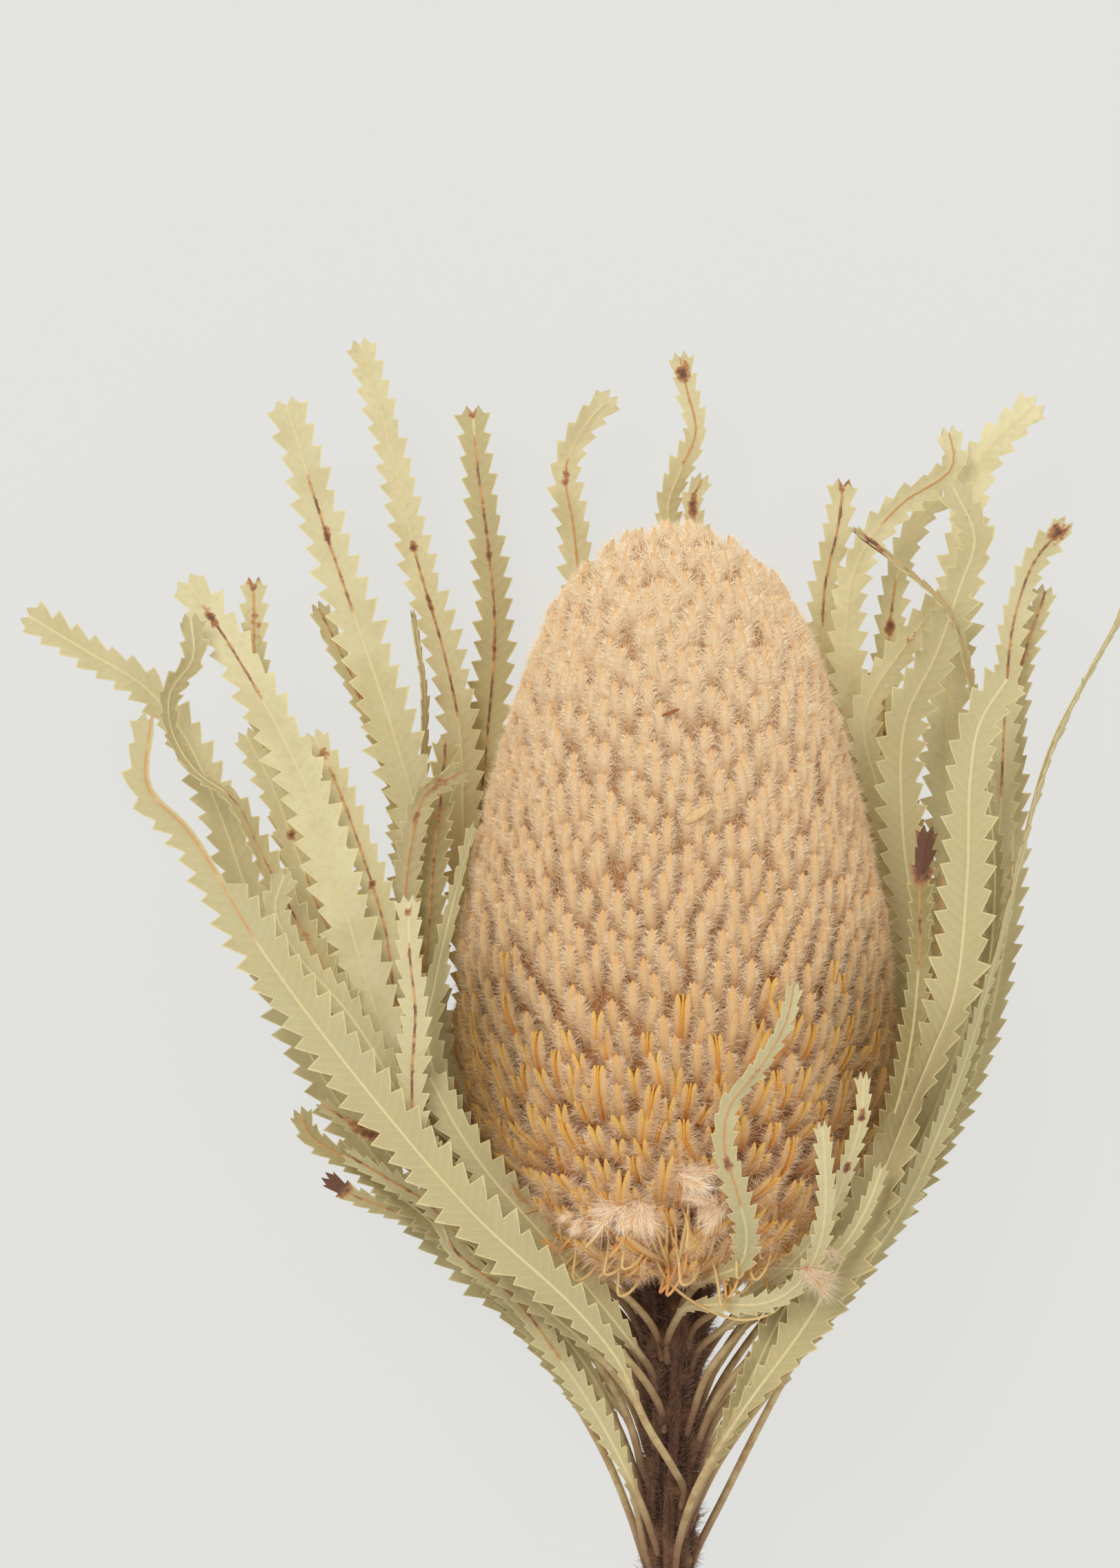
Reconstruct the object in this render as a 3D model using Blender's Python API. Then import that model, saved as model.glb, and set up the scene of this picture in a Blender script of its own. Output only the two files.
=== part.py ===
"""A dried banksia flower head with its saw-edged leaves on a cut woody stem, lying on a surface.

Lengths in the constants and tables are millimetres. They are drawn in one plan: x to the right and y towards the
head's tip, from a point beside the upper stem, and z up from the surface that the part lies on. The part's own
origin is the middle of its underside, so everything hangs on one empty that is set back by PLAN_MIDDLE.
"""

import math

import bmesh
import bpy
import numpy as np

MM = 0.001
PLAN_MIDDLE = (-16.0, 36.0)

# The flower head: a barrel whose florets are raised from its surface in staggered rows.
HEAD_X = -2.2
HEAD_BASE_Y = 16.0
HEAD_AXIS_Z = 28.0
HEAD_PROFILE = (  # height above the base along the axis, radius over the floret tips
    (0.0, 9.5),
    (4.4, 17.5),
    (13.4, 25.4),
    (24.8, 29.9),
    (36.2, 31.6),
    (47.6, 30.9),
    (58.9, 28.9),
    (70.3, 26.2),
    (81.7, 22.9),
    (93.0, 19.0),
    (98.7, 16.0),
    (104.4, 11.0),
    (107.6, 5.5),
)
HEAD_TIP_HEIGHT = 109.0
FLORETS_AROUND = 34
FLORET_ROWS = 33
FLORET_RELIEF = 2.5
FLORET_RELIEF_AT_BASE = 3.4
FLORET_LEAN = 0.78
BASE_ZONE_HEIGHT = 34.0
FLORET_UNEVEN = 0.35

# The stem: a ribbed woody rod that swells under the head.
STEM_PATH = ((-2.3, 15.7, 28.0), (-2.6, 0.0, 28.0), (-2.7, -25.0, 27.5), (-2.6, -52.0, 26.0), (-2.4, -79.0, 23.5))
STEM_RADII = ((0.0, 6.2), (0.06, 4.9), (0.16, 3.5), (0.3, 3.15), (1.0, 3.25))
STEM_SIDES = 14
STEM_RINGS = 20
STEM_RIB = 0.22
STEM_SCAR_HEIGHT = 0.7
STEM_SCARS = 9
STEM_SCARS_FROM = 0.46

# The leaves.
JOIN_GAP = 0.35
HEEL_RISE = 2.0
STALK_HALF_WIDTH = 0.65
STALK_HALF_THICKNESS = 0.6
RIB_HALF_THICKNESS = 0.45
EDGE_HALF_THICKNESS = 0.3
NOTCH_SHARE = 0.6
TOOTH_FORWARD = 0.72
BLADE_FOLD = 0.16
TOOTH_PITCH = 8.0
BLADE_FROM = 1.5 * STALK_HALF_WIDTH

# Each leaf: where its stalk leaves the stem (y, and degrees round the stem from the top towards +x), the points
# that its midrib passes, its full width over the teeth, and the turn of its face at even shares of its length.
LEAVES = {
    "leaf_left_long": dict(
        stem=(-16.0, 25), width=8.8, turn=(0, 8, 10, 0, -10), torn=0.2,
        rib=((-2.4, -12.5, 36.8), (-6.5, -5.5, 41), (-10.5, 3.5, 44), (-17, 11.5, 46), (-31, 24.5, 47.3),
             (-46.5, 42.5, 47.5), (-61.5, 62.5, 46.5), (-72, 79.5, 44.5), (-78, 86, 43), (-77.5, 95.5, 42)),
    ),
    "leaf_left_short": dict(
        stem=(-4.5, -20), width=5.2, turn=(0, 0, 0, -8, -12),
        rib=((-7.5, 1.5, 37.5), (-15, 9.3, 41), (-26, 18.8, 43), (-35, 28, 43.8), (-39.5, 37, 44),
             (-40, 44, 44.5), (-39.5, 54, 45.3), (-40.3, 62, 45.5), (-40.5, 69.5, 45)),
    ),
    "leaf_left_hooked": dict(
        stem=(-7.0, -50), width=5.6, turn=(0, 5, 10, 10, 20),
        rib=((-11.5, 2, 37.3), (-26, 16, 40.5), (-37, 31, 41), (-42.8, 43, 41), (-49.3, 53.4, 41),
             (-57, 62.2, 41), (-59.8, 68.4, 41.3), (-58.5, 73.3, 41.7)),
    ),
    "leaf_left_broad": dict(
        stem=(2.0, -70), width=8.6, turn=(0, 0, 5, 0, -5),
        rib=((-9.5, 6, 31), (-22, 17.5, 32.3), (-35, 33.5, 33), (-43.6, 48.8, 33.3), (-50, 68.4, 33.5),
             (-56.5, 88.2, 34), (-65.8, 105.3, 34.5), (-72.6, 115.4, 35)),
    ),
    "leaf_left_spotted": dict(
        stem=(-1.5, -95), width=6.0, turn=(0, 0, 5, 10, 0),
        rib=((-9.5, 5, 27.5), (-22, 18.5, 27.6), (-36, 35, 27.8), (-46, 52.5, 28), (-53.5, 67.5, 28),
             (-57.5, 78, 28), (-60.5, 86, 28.5), (-64.3, 93.4, 29)),
    ),
    "leaf_left_orange": dict(
        stem=(-10.5, -125), width=5.5, turn=(0, 0, 0, 0, 0),
        rib=((-9, -3, 22.5), (-22, 12, 20), (-38, 31, 19.6), (-51, 54, 20), (-57, 74, 21.5), (-61, 92, 24),
             (-63, 104, 26), (-63.2, 115.5, 28)),
    ),
    "leaf_left_brown_rib": dict(
        stem=(7.5, -75), width=6.0, turn=(0, 0, 0, 0, 10),
        rib=((-10, 11.5, 29.8), (-22.5, 20.5, 30.2), (-35, 36.5, 30.2), (-42.3, 54, 30.3), (-44.1, 65.3, 30.5),
             (-48.2, 78.4, 30.5), (-51.1, 86.1, 30.6), (-54.4, 93.2, 31)),
    ),
    "leaf_left_twisted": dict(
        stem=(-13.0, -75), width=5.8, turn=(0, 10, 15, 20, 35, 75, 20),
        rib=((-10, -3, 32), (-20, 11.5, 34.7), (-36, 30, 35.5), (-47, 49, 36), (-56, 65, 36), (-62, 76, 36),
             (-66, 83.8, 36), (-71.5, 88, 36), (-75, 94, 36.5), (-75.2, 99.5, 37), (-71.8, 104.5, 38),
             (-72, 110, 38.5)),
    ),
    "leaf_far_left": dict(
        stem=(-27.0, -120), width=7.0, turn=(0, 0, 0, 0, 15, 15),
        rib=((-9, -19, 23.5), (-13, -10, 20.5), (-24, 7, 18.5), (-38, 22, 18), (-50, 38, 19), (-59, 55, 22),
             (-64, 70, 26), (-68.5, 83, 29), (-74, 94.5, 30.5), (-79.3, 100.6, 31), (-86.5, 105, 32),
             (-95.6, 110.5, 33)),
    ),
    "leaf_top_left": dict(
        stem=(1.0, -128), width=8.6, turn=(0, 0, -5, 0, 5),
        rib=((-8.5, 7, 20), (-19, 19, 17.5), (-34.5, 38, 16.8), (-38.5, 55, 17), (-39.3, 70, 18.5), (-40, 83, 20),
             (-42.5, 92, 20.5), (-47.2, 106.3, 21), (-52.9, 122.9, 22), (-56.5, 134.3, 23), (-58.6, 141.5, 24)),
    ),
    "leaf_top_tallest": dict(
        stem=(4.5, -148), width=6.3, turn=(0, 5, 10, 5, 0),
        rib=((-8, 11, 17), (-15.5, 21, 10), (-26.5, 37, 6.2), (-31.5, 55, 5.9), (-33, 75, 6.2), (-33.4, 92.9, 7.5),
             (-35.8, 105.3, 8.8), (-39.7, 118.8, 10.5), (-44.1, 137.4, 13), (-48, 150.6, 15)),
    ),
    "leaf_top_dark": dict(
        stem=(8.0, -158), width=6.8, turn=(0, 0, 0, 0, 0),
        rib=((-6.5, 14, 15), (-14, 23, 7), (-25, 42, 3.4), (-29.5, 60, 3), (-30.8, 77, 3.2), (-29.3, 95.5, 4.5),
             (-28.4, 108.4, 6), (-29.3, 120.8, 7.5), (-31.1, 134.3, 9), (-31.6, 141, 9.5)),
    ),
    "leaf_left_folded": dict(
        stem=(-8.0, -145), width=5.5, turn=(0, 0, 0, 15, 45),
        rib=((-8, 0, 18.5), (-17, 14, 14.5), (-30, 32, 13.4), (-37, 50, 13.4), (-40, 65, 13.8), (-41.5, 79.9, 14.5),
             (-44.6, 91.8, 15.5), (-48.7, 100.6, 16), (-54.2, 112, 17)),
    ),
    "leaf_left_sliver": dict(
        stem=(-15.0, -150), width=3.8, turn=(0, 0, 20, 60, 75),
        rib=((-7.5, -6, 17.5), (-15, 8, 12), (-29, 33, 9.8), (-37, 55, 9.8), (-39.5, 75, 10.5), (-38.9, 91.3, 12.5),
             (-38.9, 101.1, 14.5), (-40.4, 111, 16)),
    ),
    "leaf_left_inner": dict(
        stem=(-5.5, -110), width=5.4, turn=(0, 0, 0, 0, 0),
        rib=((-9.5, 0.5, 24.5), (-18, 12, 22.6), (-28, 24.5, 22.2), (-37, 42, 22.2), (-39, 56, 22.5), (-38, 64.3, 23),
             (-37, 77, 24), (-36, 85, 25), (-35.4, 92.3, 25.5)),
    ),
    "leaf_left_curled_tip": dict(
        stem=(4.0, -105), width=5.4, turn=(0, 0, 0, 0, 10, 40),
        rib=((-9.5, 8.5, 26), (-17, 15, 25.3), (-28.5, 25.5, 25), (-38.5, 43.5, 25), (-41, 58, 25.5),
             (-41.3, 70, 26.5), (-40.4, 78, 28), (-38.6, 84.6, 29), (-36.3, 86.6, 30), (-33, 88.2, 31)),
    ),
    "leaf_left_beside_head": dict(
        stem=(6.0, -25), width=6.2, turn=(0, -5, -10, -10, -60, -75),
        rib=((-6.5, 9.5, 36), (-10, 13, 36.8), (-17.6, 18.3, 37.3), (-24.7, 24.3, 37.1), (-30.8, 31.5, 36.3), (-35.2, 40, 35.6),
             (-38, 50, 35.6), (-36.8, 57, 34.5), (-34.3, 68, 33), (-31, 80, 32)),
    ),
    "leaf_left_under_head": dict(
        stem=(1.0, -40), width=6.2, turn=(0, 0, 0, -5, -5),
        rib=((-8, 5, 36.5), (-13, 11.5, 38.5), (-20.8, 20.8, 40), (-29, 30.2, 40.5), (-34, 37.5, 40.5),
             (-37.5, 44.1, 40)),
    ),
    "leaf_low_upper": dict(
        stem=(-17.0, -88), width=3.2, turn=(0, 0, 0, 10, 20),
        rib=((-9.5, -9, 28.2), (-15, 2, 29.8), (-25, 14.5, 30.6), (-35, 25.5, 31.8), (-43, 33.7, 34), (-48.2, 36.8, 35),
             (-53.1, 40, 36)),
    ),
    "leaf_low_hooked": dict(
        stem=(-15.0, -110), width=4.5, turn=(0, 0, 0, 10, 10),
        rib=((-9, -6, 25.8), (-22, 8, 25.2), (-36, 21.5, 26), (-44, 28, 28), (-49.3, 31.7, 29.7),
             (-54.9, 35.3, 31), (-56.4, 38.7, 32)),
    ),
    "leaf_low_middle": dict(
        stem=(-21.5, -98), width=3.6, turn=(0, 0, 0, 0, 0),
        rib=((-9.5, -13, 26.4), (-20, 3, 27.3), (-32, 19, 28.6), (-37.9, 25.5, 30), (-43.6, 29.1, 31.5),
             (-49.5, 32.7, 32.5)),
    ),
    "leaf_low_red_tip": dict(
        stem=(-19.5, -125), width=3.8, turn=(0, 0, 0, -10, -10),
        rib=((-9, -11, 23.8), (-19, 3, 22.8), (-30, 15, 23), (-37.1, 21.6, 24.5), (-43, 24.4, 26), (-49, 26.8, 27.5),
             (-52.4, 29.1, 28)),
    ),
    "leaf_low_drooping": dict(
        stem=(-22.5, -40), width=4.0, turn=(0, 0, 10, 20, 20),
        rib=((-8.5, -14.5, 33.8), (-14, -4, 35.3), (-20, 5, 36.6), (-26, 12.8, 37.6), (-30.5, 16, 38),
             (-34.2, 19.3, 38), (-36, 23.5, 38)),
    ),
    "leaf_low_edgewise": dict(
        stem=(-25.5, -60), width=3.4, turn=(0, 20, 60, 75, 70),
        rib=((-8.5, -15, 31), (-12, -7, 32.4), (-18.8, 4.5, 33.2), (-24.9, 12, 33.6), (-29, 16.3, 33.7),
             (-32.7, 20.6, 33.8)),
    ),
    "leaf_tip_winding": dict(
        stem=(6.5, 168), width=5.0, turn=(0, 0, 0, 10, 20, -10),
        rib=((2, 13, 17), (8, 21, 9.5), (17, 36, 3.4), (20, 50, 2.4), (19.5, 64, 2.2), (14, 85, 2.6), (4, 108, 5),
             (-3, 126, 9), (-1.2, 132.2, 10.5), (1.1, 137.9, 12), (-0.2, 144.1, 13), (-1.2, 148.8, 14)),
    ),
    "leaf_tip_small": dict(
        stem=(3.0, 155), width=4.5, turn=(0, 0, 0, 0, 10),
        rib=((4, 10, 17.5), (13, 22, 11), (24, 40, 7.4), (26, 60, 6.6), (20, 85, 6.5), (8, 110, 9), (0.5, 127, 12),
             (2, 131, 13)),
    ),
    "leaf_tip_bent": dict(
        stem=(10.0, -178), width=6.3, turn=(0, 0, 0, 0, 0, 20),
        rib=((-4.5, 16, 13.5), (-11, 23, 6.5), (-20, 34, 2.2), (-23, 48, 1.6), (-23, 62, 1.6), (-18.5, 85, 2.2),
             (-15.5, 105, 4.5), (-16.7, 122.9, 7.5), (-18, 132.7, 9), (-15.2, 138.9, 10.5), (-11.5, 143, 11.5)),
    ),
    "leaf_right_cut_tip": dict(
        stem=(4.5, 135), width=6.0, turn=(0, 0, 0, 0, 0),
        rib=((5, 11, 20), (14, 21, 14.5), (25.5, 38, 11.8), (29.8, 56, 11.8), (27, 76, 11.8), (21, 95, 12.3),
             (19.8, 113.6, 13.5), (21.9, 124, 14.5), (22.6, 130.1, 15)),
    ),
    "leaf_right_arching": dict(
        stem=(1.0, 125), width=6.3, turn=(0, 0, 0, 0, 10, 30),
        rib=((5, 7, 22.5), (15, 18, 17.8), (28, 36, 16.2), (33, 54, 16), (30.5, 74, 15.8), (25.5, 92, 16),
             (23, 107, 17), (24.8, 119.2, 18), (30.7, 127, 19.5), (38.2, 132.5, 21), (37.8, 137.5, 22)),
    ),
    "leaf_right_rear": dict(
        stem=(-6.5, 148), width=5.6, turn=(0, 0, 0, 0, 0, 20),
        rib=((4, 1, 18), (14, 15, 11.5), (28, 35, 8), (34.5, 54, 7.6), (33.5, 74, 7.6), (29, 92, 8), (29.3, 106, 9),
             (30.9, 118, 10), (34.1, 125.7, 11), (37.2, 128.5, 12)),
    ),
    "leaf_right_slanting": dict(
        stem=(-7.5, 115), width=6.3, turn=(0, 0, 0, 0, 10),
        rib=((5, 0, 24.3), (16, 15, 21.5), (29.5, 34, 20.5), (35, 52, 20), (32, 70, 19.8), (28, 84, 20),
             (25.5, 96, 20.5), (30.7, 105.4, 21.5), (36.5, 113, 22.5)),
    ),
    "leaf_right_tallest": dict(
        stem=(-11.0, 130), width=7.6, turn=(0, 0, 0, 0, -5, -15),
        rib=((5, -3, 20.5), (17, 13, 14.5), (32.5, 37, 12), (38.5, 58, 11.5), (38.5, 76, 11.8), (37.5, 92, 12.8),
             (39.2, 110, 14.5), (40.5, 124, 16), (43.1, 134, 17.5), (50.6, 141.6, 19)),
    ),
    "leaf_right_wide": dict(
        stem=(-3.5, 95), width=7.6, turn=(0, 0, 0, 0, 0, 10),
        rib=((5, 4, 26.5), (16, 18, 24.5), (30.5, 37, 24), (34.5, 54, 24), (32.5, 68, 23.8), (31, 80, 24),
             (31.3, 95.1, 25), (35.8, 105.1, 26), (39.1, 114.7, 27), (41.3, 122, 28), (38.2, 129.2, 29)),
    ),
    "leaf_right_edgewise": dict(
        stem=(-14.5, 80), width=3.6, turn=(0, 0, 0, 20, 60, 70),
        rib=((4.5, -7, 30), (13, 3.5, 30.5), (24.5, 17, 30.8), (36.5, 36, 31), (42.3, 55, 31), (44, 72, 31),
             (42.5, 88, 31.5), (40.3, 101.5, 32.5), (37.2, 111.3, 33.3), (30.7, 117.5, 34), (23.8, 122.7, 35)),
    ),
    "leaf_right_brown_tip": dict(
        stem=(-24.0, 95), width=5.5, turn=(0, 0, 0, 0, 0, 10),
        rib=((5, -17, 27.5), (10, -7, 27.6), (17, 6, 27.6), (28, 24, 27.4), (37.5, 44, 27), (43, 64, 27),
             (45, 82, 27), (45.8, 98, 27.5), (47, 110, 28), (49.9, 118.5, 28.5), (54.4, 124, 29)),
    ),
    "leaf_right_outer": dict(
        stem=(-12.0, 110), width=5.0, turn=(0, 0, 0, 0, 0),
        rib=((4.5, -5, 25.5), (15, 6.5, 24.6), (30, 24, 24), (41.5, 45, 23.8), (46.5, 68, 23.6), (47, 85, 23.8),
             (47.9, 101.6, 24.5), (51.7, 114.4, 25.5)),
    ),
    "leaf_right_long": dict(
        stem=(-24.5, 12), width=9.0, turn=(0, 0, -5, -20, -70, -10, 0, 0),
        rib=((0.8, -15.5, 36.5), (6.9, -4.8, 39), (16.8, 9, 40.3), (25.2, 24.3, 41), (30.5, 37, 41.5),
             (34.6, 47, 41.5), (38, 56, 41), (39.7, 72.1, 41), (40.2, 87.7, 41), (41.5, 95, 41), (45.5, 101.5, 41)),
    ),
    "leaf_right_inner": dict(
        stem=(-20.0, 35), width=4.5, turn=(0, 0, 0, 0, 0),
        rib=((2.5, -13, 34.3), (5.5, -7, 35.6), (9.4, 2, 36.3), (13, 9.5, 36.8), (18, 19, 37.2), (24.5, 31, 38.7)),
    ),
    "leaf_right_beside_head": dict(
        stem=(-5.0, 45), width=4.4, turn=(0, 0, 0, 10, 10, 0),
        rib=((2.5, 1, 32.5), (8, 8, 32.5), (15, 15.5, 33.3), (22.5, 25, 34.2), (28.8, 37, 34.5), (31.8, 49, 34.8),
             (33, 62, 35), (33.2, 72, 35.4), (34.2, 79.5, 36)),
    ),
    "leaf_right_narrow": dict(
        stem=(-9.5, 65), width=3.4, turn=(0, 0, 0, 0, 0),
        rib=((4, -2.5, 30.8), (11, 6, 30.6), (19.5, 18, 30.5), (28.5, 34, 30.5), (34.2, 52, 30.8), (36, 63, 31.2),
             (36.5, 73, 31.8)),
    ),
    "leaf_far_right": dict(
        stem=(-18.5, 60), width=4.0, turn=(0, 0, 20, 70, 80, 75),
        rib=((4, -12, 33), (9, -4.5, 34.5), (19, 8, 35.6), (31, 26, 36), (39, 45, 35.5), (43.5, 60, 34.5),
             (47.5, 75, 33.5), (52, 91, 33), (57.5, 102, 33), (61.8, 110, 33.5), (63.3, 115, 34)),
    ),
    "leaf_front_bent": dict(
        stem=(9.5, 8), width=4.3, turn=(0, 0, 0, 10, 50, 40),
        rib=((0.5, 13.8, 39), (3.2, 15.5, 42), (7, 17.5, 46.5), (7.8, 22, 52), (6.4, 28, 57), (4.4, 35, 60.5),
             (5, 40.5, 62), (9.6, 46.6, 62), (13, 52.5, 61), (14.2, 57.5, 60)),
    ),
    "leaf_front_spotted": dict(
        stem=(7.5, 35), width=3.3, turn=(0, 10, 20, 20, 20),
        rib=((5, 11, 36.5), (9.8, 14, 39.5), (15.5, 18.5, 42), (20.5, 26, 45), (22.5, 32.5, 47.5), (24.3, 39, 49.5),
             (24.5, 44.3, 50)),
    ),
    "leaf_front_looped": dict(
        stem=(5.5, -10), width=3.4, turn=(0, 0, 10, 20, 10, 10),
        rib=((-1.8, 9.5, 37.5), (-0.5, 11, 40), (4, 11.6, 42), (9.5, 11.6, 43.5), (13.6, 13.2, 45), (16.6, 16.6, 47),
             (18.6, 22, 50), (19.1, 28, 52.5), (18.8, 34.4, 54), (18.5, 37.5, 54.5)),
    ),
    "leaf_front_low": dict(
        stem=(4.0, 50), width=3.3, turn=(0, 10, 20, 20, 20),
        rib=((4.5, 7.5, 34.8), (10.5, 11.8, 39.7), (16.2, 15, 43.6), (22, 20.5, 45), (25.2, 26, 46.2), (27.2, 31.3, 46.8)),
    ),
}

COLOURS = {
    "florets": ((0.66, 0.43, 0.24), 0.95),
    "bark": ((0.11, 0.065, 0.05), 0.9),
    "leaf": ((0.50, 0.47, 0.27), 0.75),
}


def material(name):
    """A plain Principled material of the named colour."""
    colour, roughness = COLOURS[name]
    made = bpy.data.materials.new(name)
    made.use_nodes = True
    shader = made.node_tree.nodes["Principled BSDF"]
    shader.inputs["Base Color"].default_value = (*colour, 1.0)
    shader.inputs["Roughness"].default_value = roughness
    shader.inputs["Metallic"].default_value = 0.0
    return made


def add_object(name, points, faces, look, parent):
    """One named mesh object from points in the plan's millimetres."""
    mesh = bpy.data.meshes.new(name)
    mesh.from_pydata([tuple(p * MM for p in point) for point in points], [], faces)
    mesh.materials.append(look)
    made = bpy.data.objects.new(name, mesh)
    made.parent = parent
    bpy.context.scene.collection.objects.link(made)
    return made


def smooth_path(points, count):
    """count points at even spacing along a smooth curve through the given ones (centripetal Catmull-Rom)."""
    given = np.array(points, float)
    ends = np.vstack([2 * given[0] - given[1], given, 2 * given[-1] - given[-2]])
    steps = 12
    dense = []
    for a, b, c, d in zip(ends, ends[1:], ends[2:], ends[3:]):
        ab, bc, cd = (math.sqrt(np.linalg.norm(q - p)) for p, q in ((a, b), (b, c), (c, d)))
        out_b = (b - a) / ab - (c - a) / (ab + bc) + (c - b) / bc
        out_c = (c - b) / bc - (d - b) / (bc + cd) + (d - c) / cd
        for t in np.arange(steps) / steps:
            dense.append(
                (2 * t**3 - 3 * t**2 + 1) * b
                + (t**3 - 2 * t**2 + t) * out_b * bc
                + (3 * t**2 - 2 * t**3) * c
                + (t**3 - t**2) * out_c * bc
            )
    dense = np.array([*dense, given[-1]])
    lengths = np.append(0, np.cumsum(np.linalg.norm(np.diff(dense, axis=0), axis=1)))
    at = np.linspace(0, lengths[-1], count)
    return np.stack([np.interp(at, lengths, dense[:, i]) for i in range(3)], axis=1), lengths[-1]


def stem_at(y):
    """The stem's centre at this y of the plan, and its radius there."""
    path, _ = smooth_path(STEM_PATH, 200)
    centre = np.array([np.interp(-y, -path[:, 1], path[:, i]) for i in range(3)])
    share = (path[0, 1] - y) / (path[0, 1] - path[-1, 1])
    return centre, float(np.interp(share, *zip(*STEM_RADII)))


def head_surface(height, around):
    """A point of the head's floret envelope, and the outward normal there."""
    heights, radii = zip(*HEAD_PROFILE)
    radius = float(np.interp(height, heights, radii))
    step = 1.5
    slope = float(np.interp(height + step, heights, radii) - np.interp(height - step, heights, radii)) / (2 * step)
    out = np.array([math.sin(around), 0, math.cos(around)])
    normal = out - slope * np.array([0, 1, 0])
    centre = np.array([HEAD_X, HEAD_BASE_Y + height, HEAD_AXIS_Z])
    return centre + radius * out, normal / np.linalg.norm(normal)


def floret_relief(height, around):
    """How far the florets stand over the grooves between them: more at the loose base, less where rows crowd."""
    loose = max(0.0, 1 - height / BASE_ZONE_HEIGHT)
    relief = FLORET_RELIEF + (FLORET_RELIEF_AT_BASE - FLORET_RELIEF) * loose
    radius = np.interp(height, *zip(*HEAD_PROFILE))
    crowding = min(1.0, 2 * math.pi * radius / FLORETS_AROUND / 3.0)
    return relief * crowding * (1 + FLORET_UNEVEN * math.sin(7.3 * around + 1.9 * height) * 0.5)


def build_head(parent):
    """The flower head. Each floret is a four-sided point over its cell of a staggered lattice, leaning to the tip."""
    heights, radii = (np.array(v) for v in zip(*HEAD_PROFILE))
    arc = np.append(0, np.cumsum(np.hypot(np.diff(heights), np.diff(radii))))
    row_arcs = np.linspace(0, arc[-1], FLORET_ROWS + 1)
    pitch = row_arcs[1] - row_arcs[0]
    turn = 2 * math.pi / FLORETS_AROUND
    points, faces = [], []

    def groove(row, column):
        return row * FLORETS_AROUND + column % FLORETS_AROUND

    for row, at in enumerate(row_arcs):
        height = float(np.interp(at, arc, heights))
        for column in range(FLORETS_AROUND):
            around = turn * (column + 0.5 * (row % 2))
            on, normal = head_surface(height, around)
            points.append(on - normal * floret_relief(height, around))
    for row in range(1, FLORET_ROWS):
        height = float(np.interp(row_arcs[row] + FLORET_LEAN * pitch, arc, heights))
        for column in range(FLORETS_AROUND):
            around = turn * (column + 0.5 * (row % 2) + 0.5)
            tip, _ = head_surface(height, around)
            points.append(tip)
            peak = len(points) - 1
            left, right = groove(row, column), groove(row, column + 1)
            middle = column + row % 2
            low, high = groove(row - 1, middle), groove(row + 1, middle)
            faces += [(low, right, peak), (right, high, peak), (high, left, peak), (left, low, peak)]
    first, last = 0, FLORET_ROWS
    for column in range(FLORETS_AROUND):
        middle = column + first % 2
        faces.append((groove(first, column), groove(first, column + 1), groove(first + 1, middle)))
        middle = column + last % 2
        faces.append((groove(last, column + 1), groove(last, column), groove(last - 1, middle)))
    faces.append(tuple(groove(first, column) for column in reversed(range(FLORETS_AROUND))))
    points.append(np.array([HEAD_X, HEAD_BASE_Y + HEAD_TIP_HEIGHT, HEAD_AXIS_Z]))
    pole = len(points) - 1
    faces += [(groove(last, c), groove(last, c + 1), pole) for c in range(FLORETS_AROUND)]
    head = add_object("flower_head", points, faces, material("florets"), parent)
    press_flat(head, parent)
    return head


def press_flat(head, parent):
    """Cuts away what would lie below the surface, which leaves the flat spot that the head rests on."""
    deep = 20.0
    width, length = 70.0, 120.0
    corners = [
        (HEAD_X + sx * width / 2, HEAD_BASE_Y + HEAD_TIP_HEIGHT / 2 + sy * length / 2, z)
        for z in (-deep, 0.0)
        for sx, sy in ((-1, -1), (1, -1), (1, 1), (-1, 1))
    ]
    sides = [(0, 3, 2, 1), (4, 5, 6, 7), (0, 1, 5, 4), (1, 2, 6, 5), (2, 3, 7, 6), (3, 0, 4, 7)]
    cutter = add_object("surface_cutter", corners, sides, head.data.materials[0], parent)
    cutter.hide_render = True
    cutter.display_type = "WIRE"
    cut = head.modifiers.new("flat spot", "BOOLEAN")
    cut.operation = "DIFFERENCE"
    cut.object = cutter
    cut.solver = "EXACT"


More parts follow.
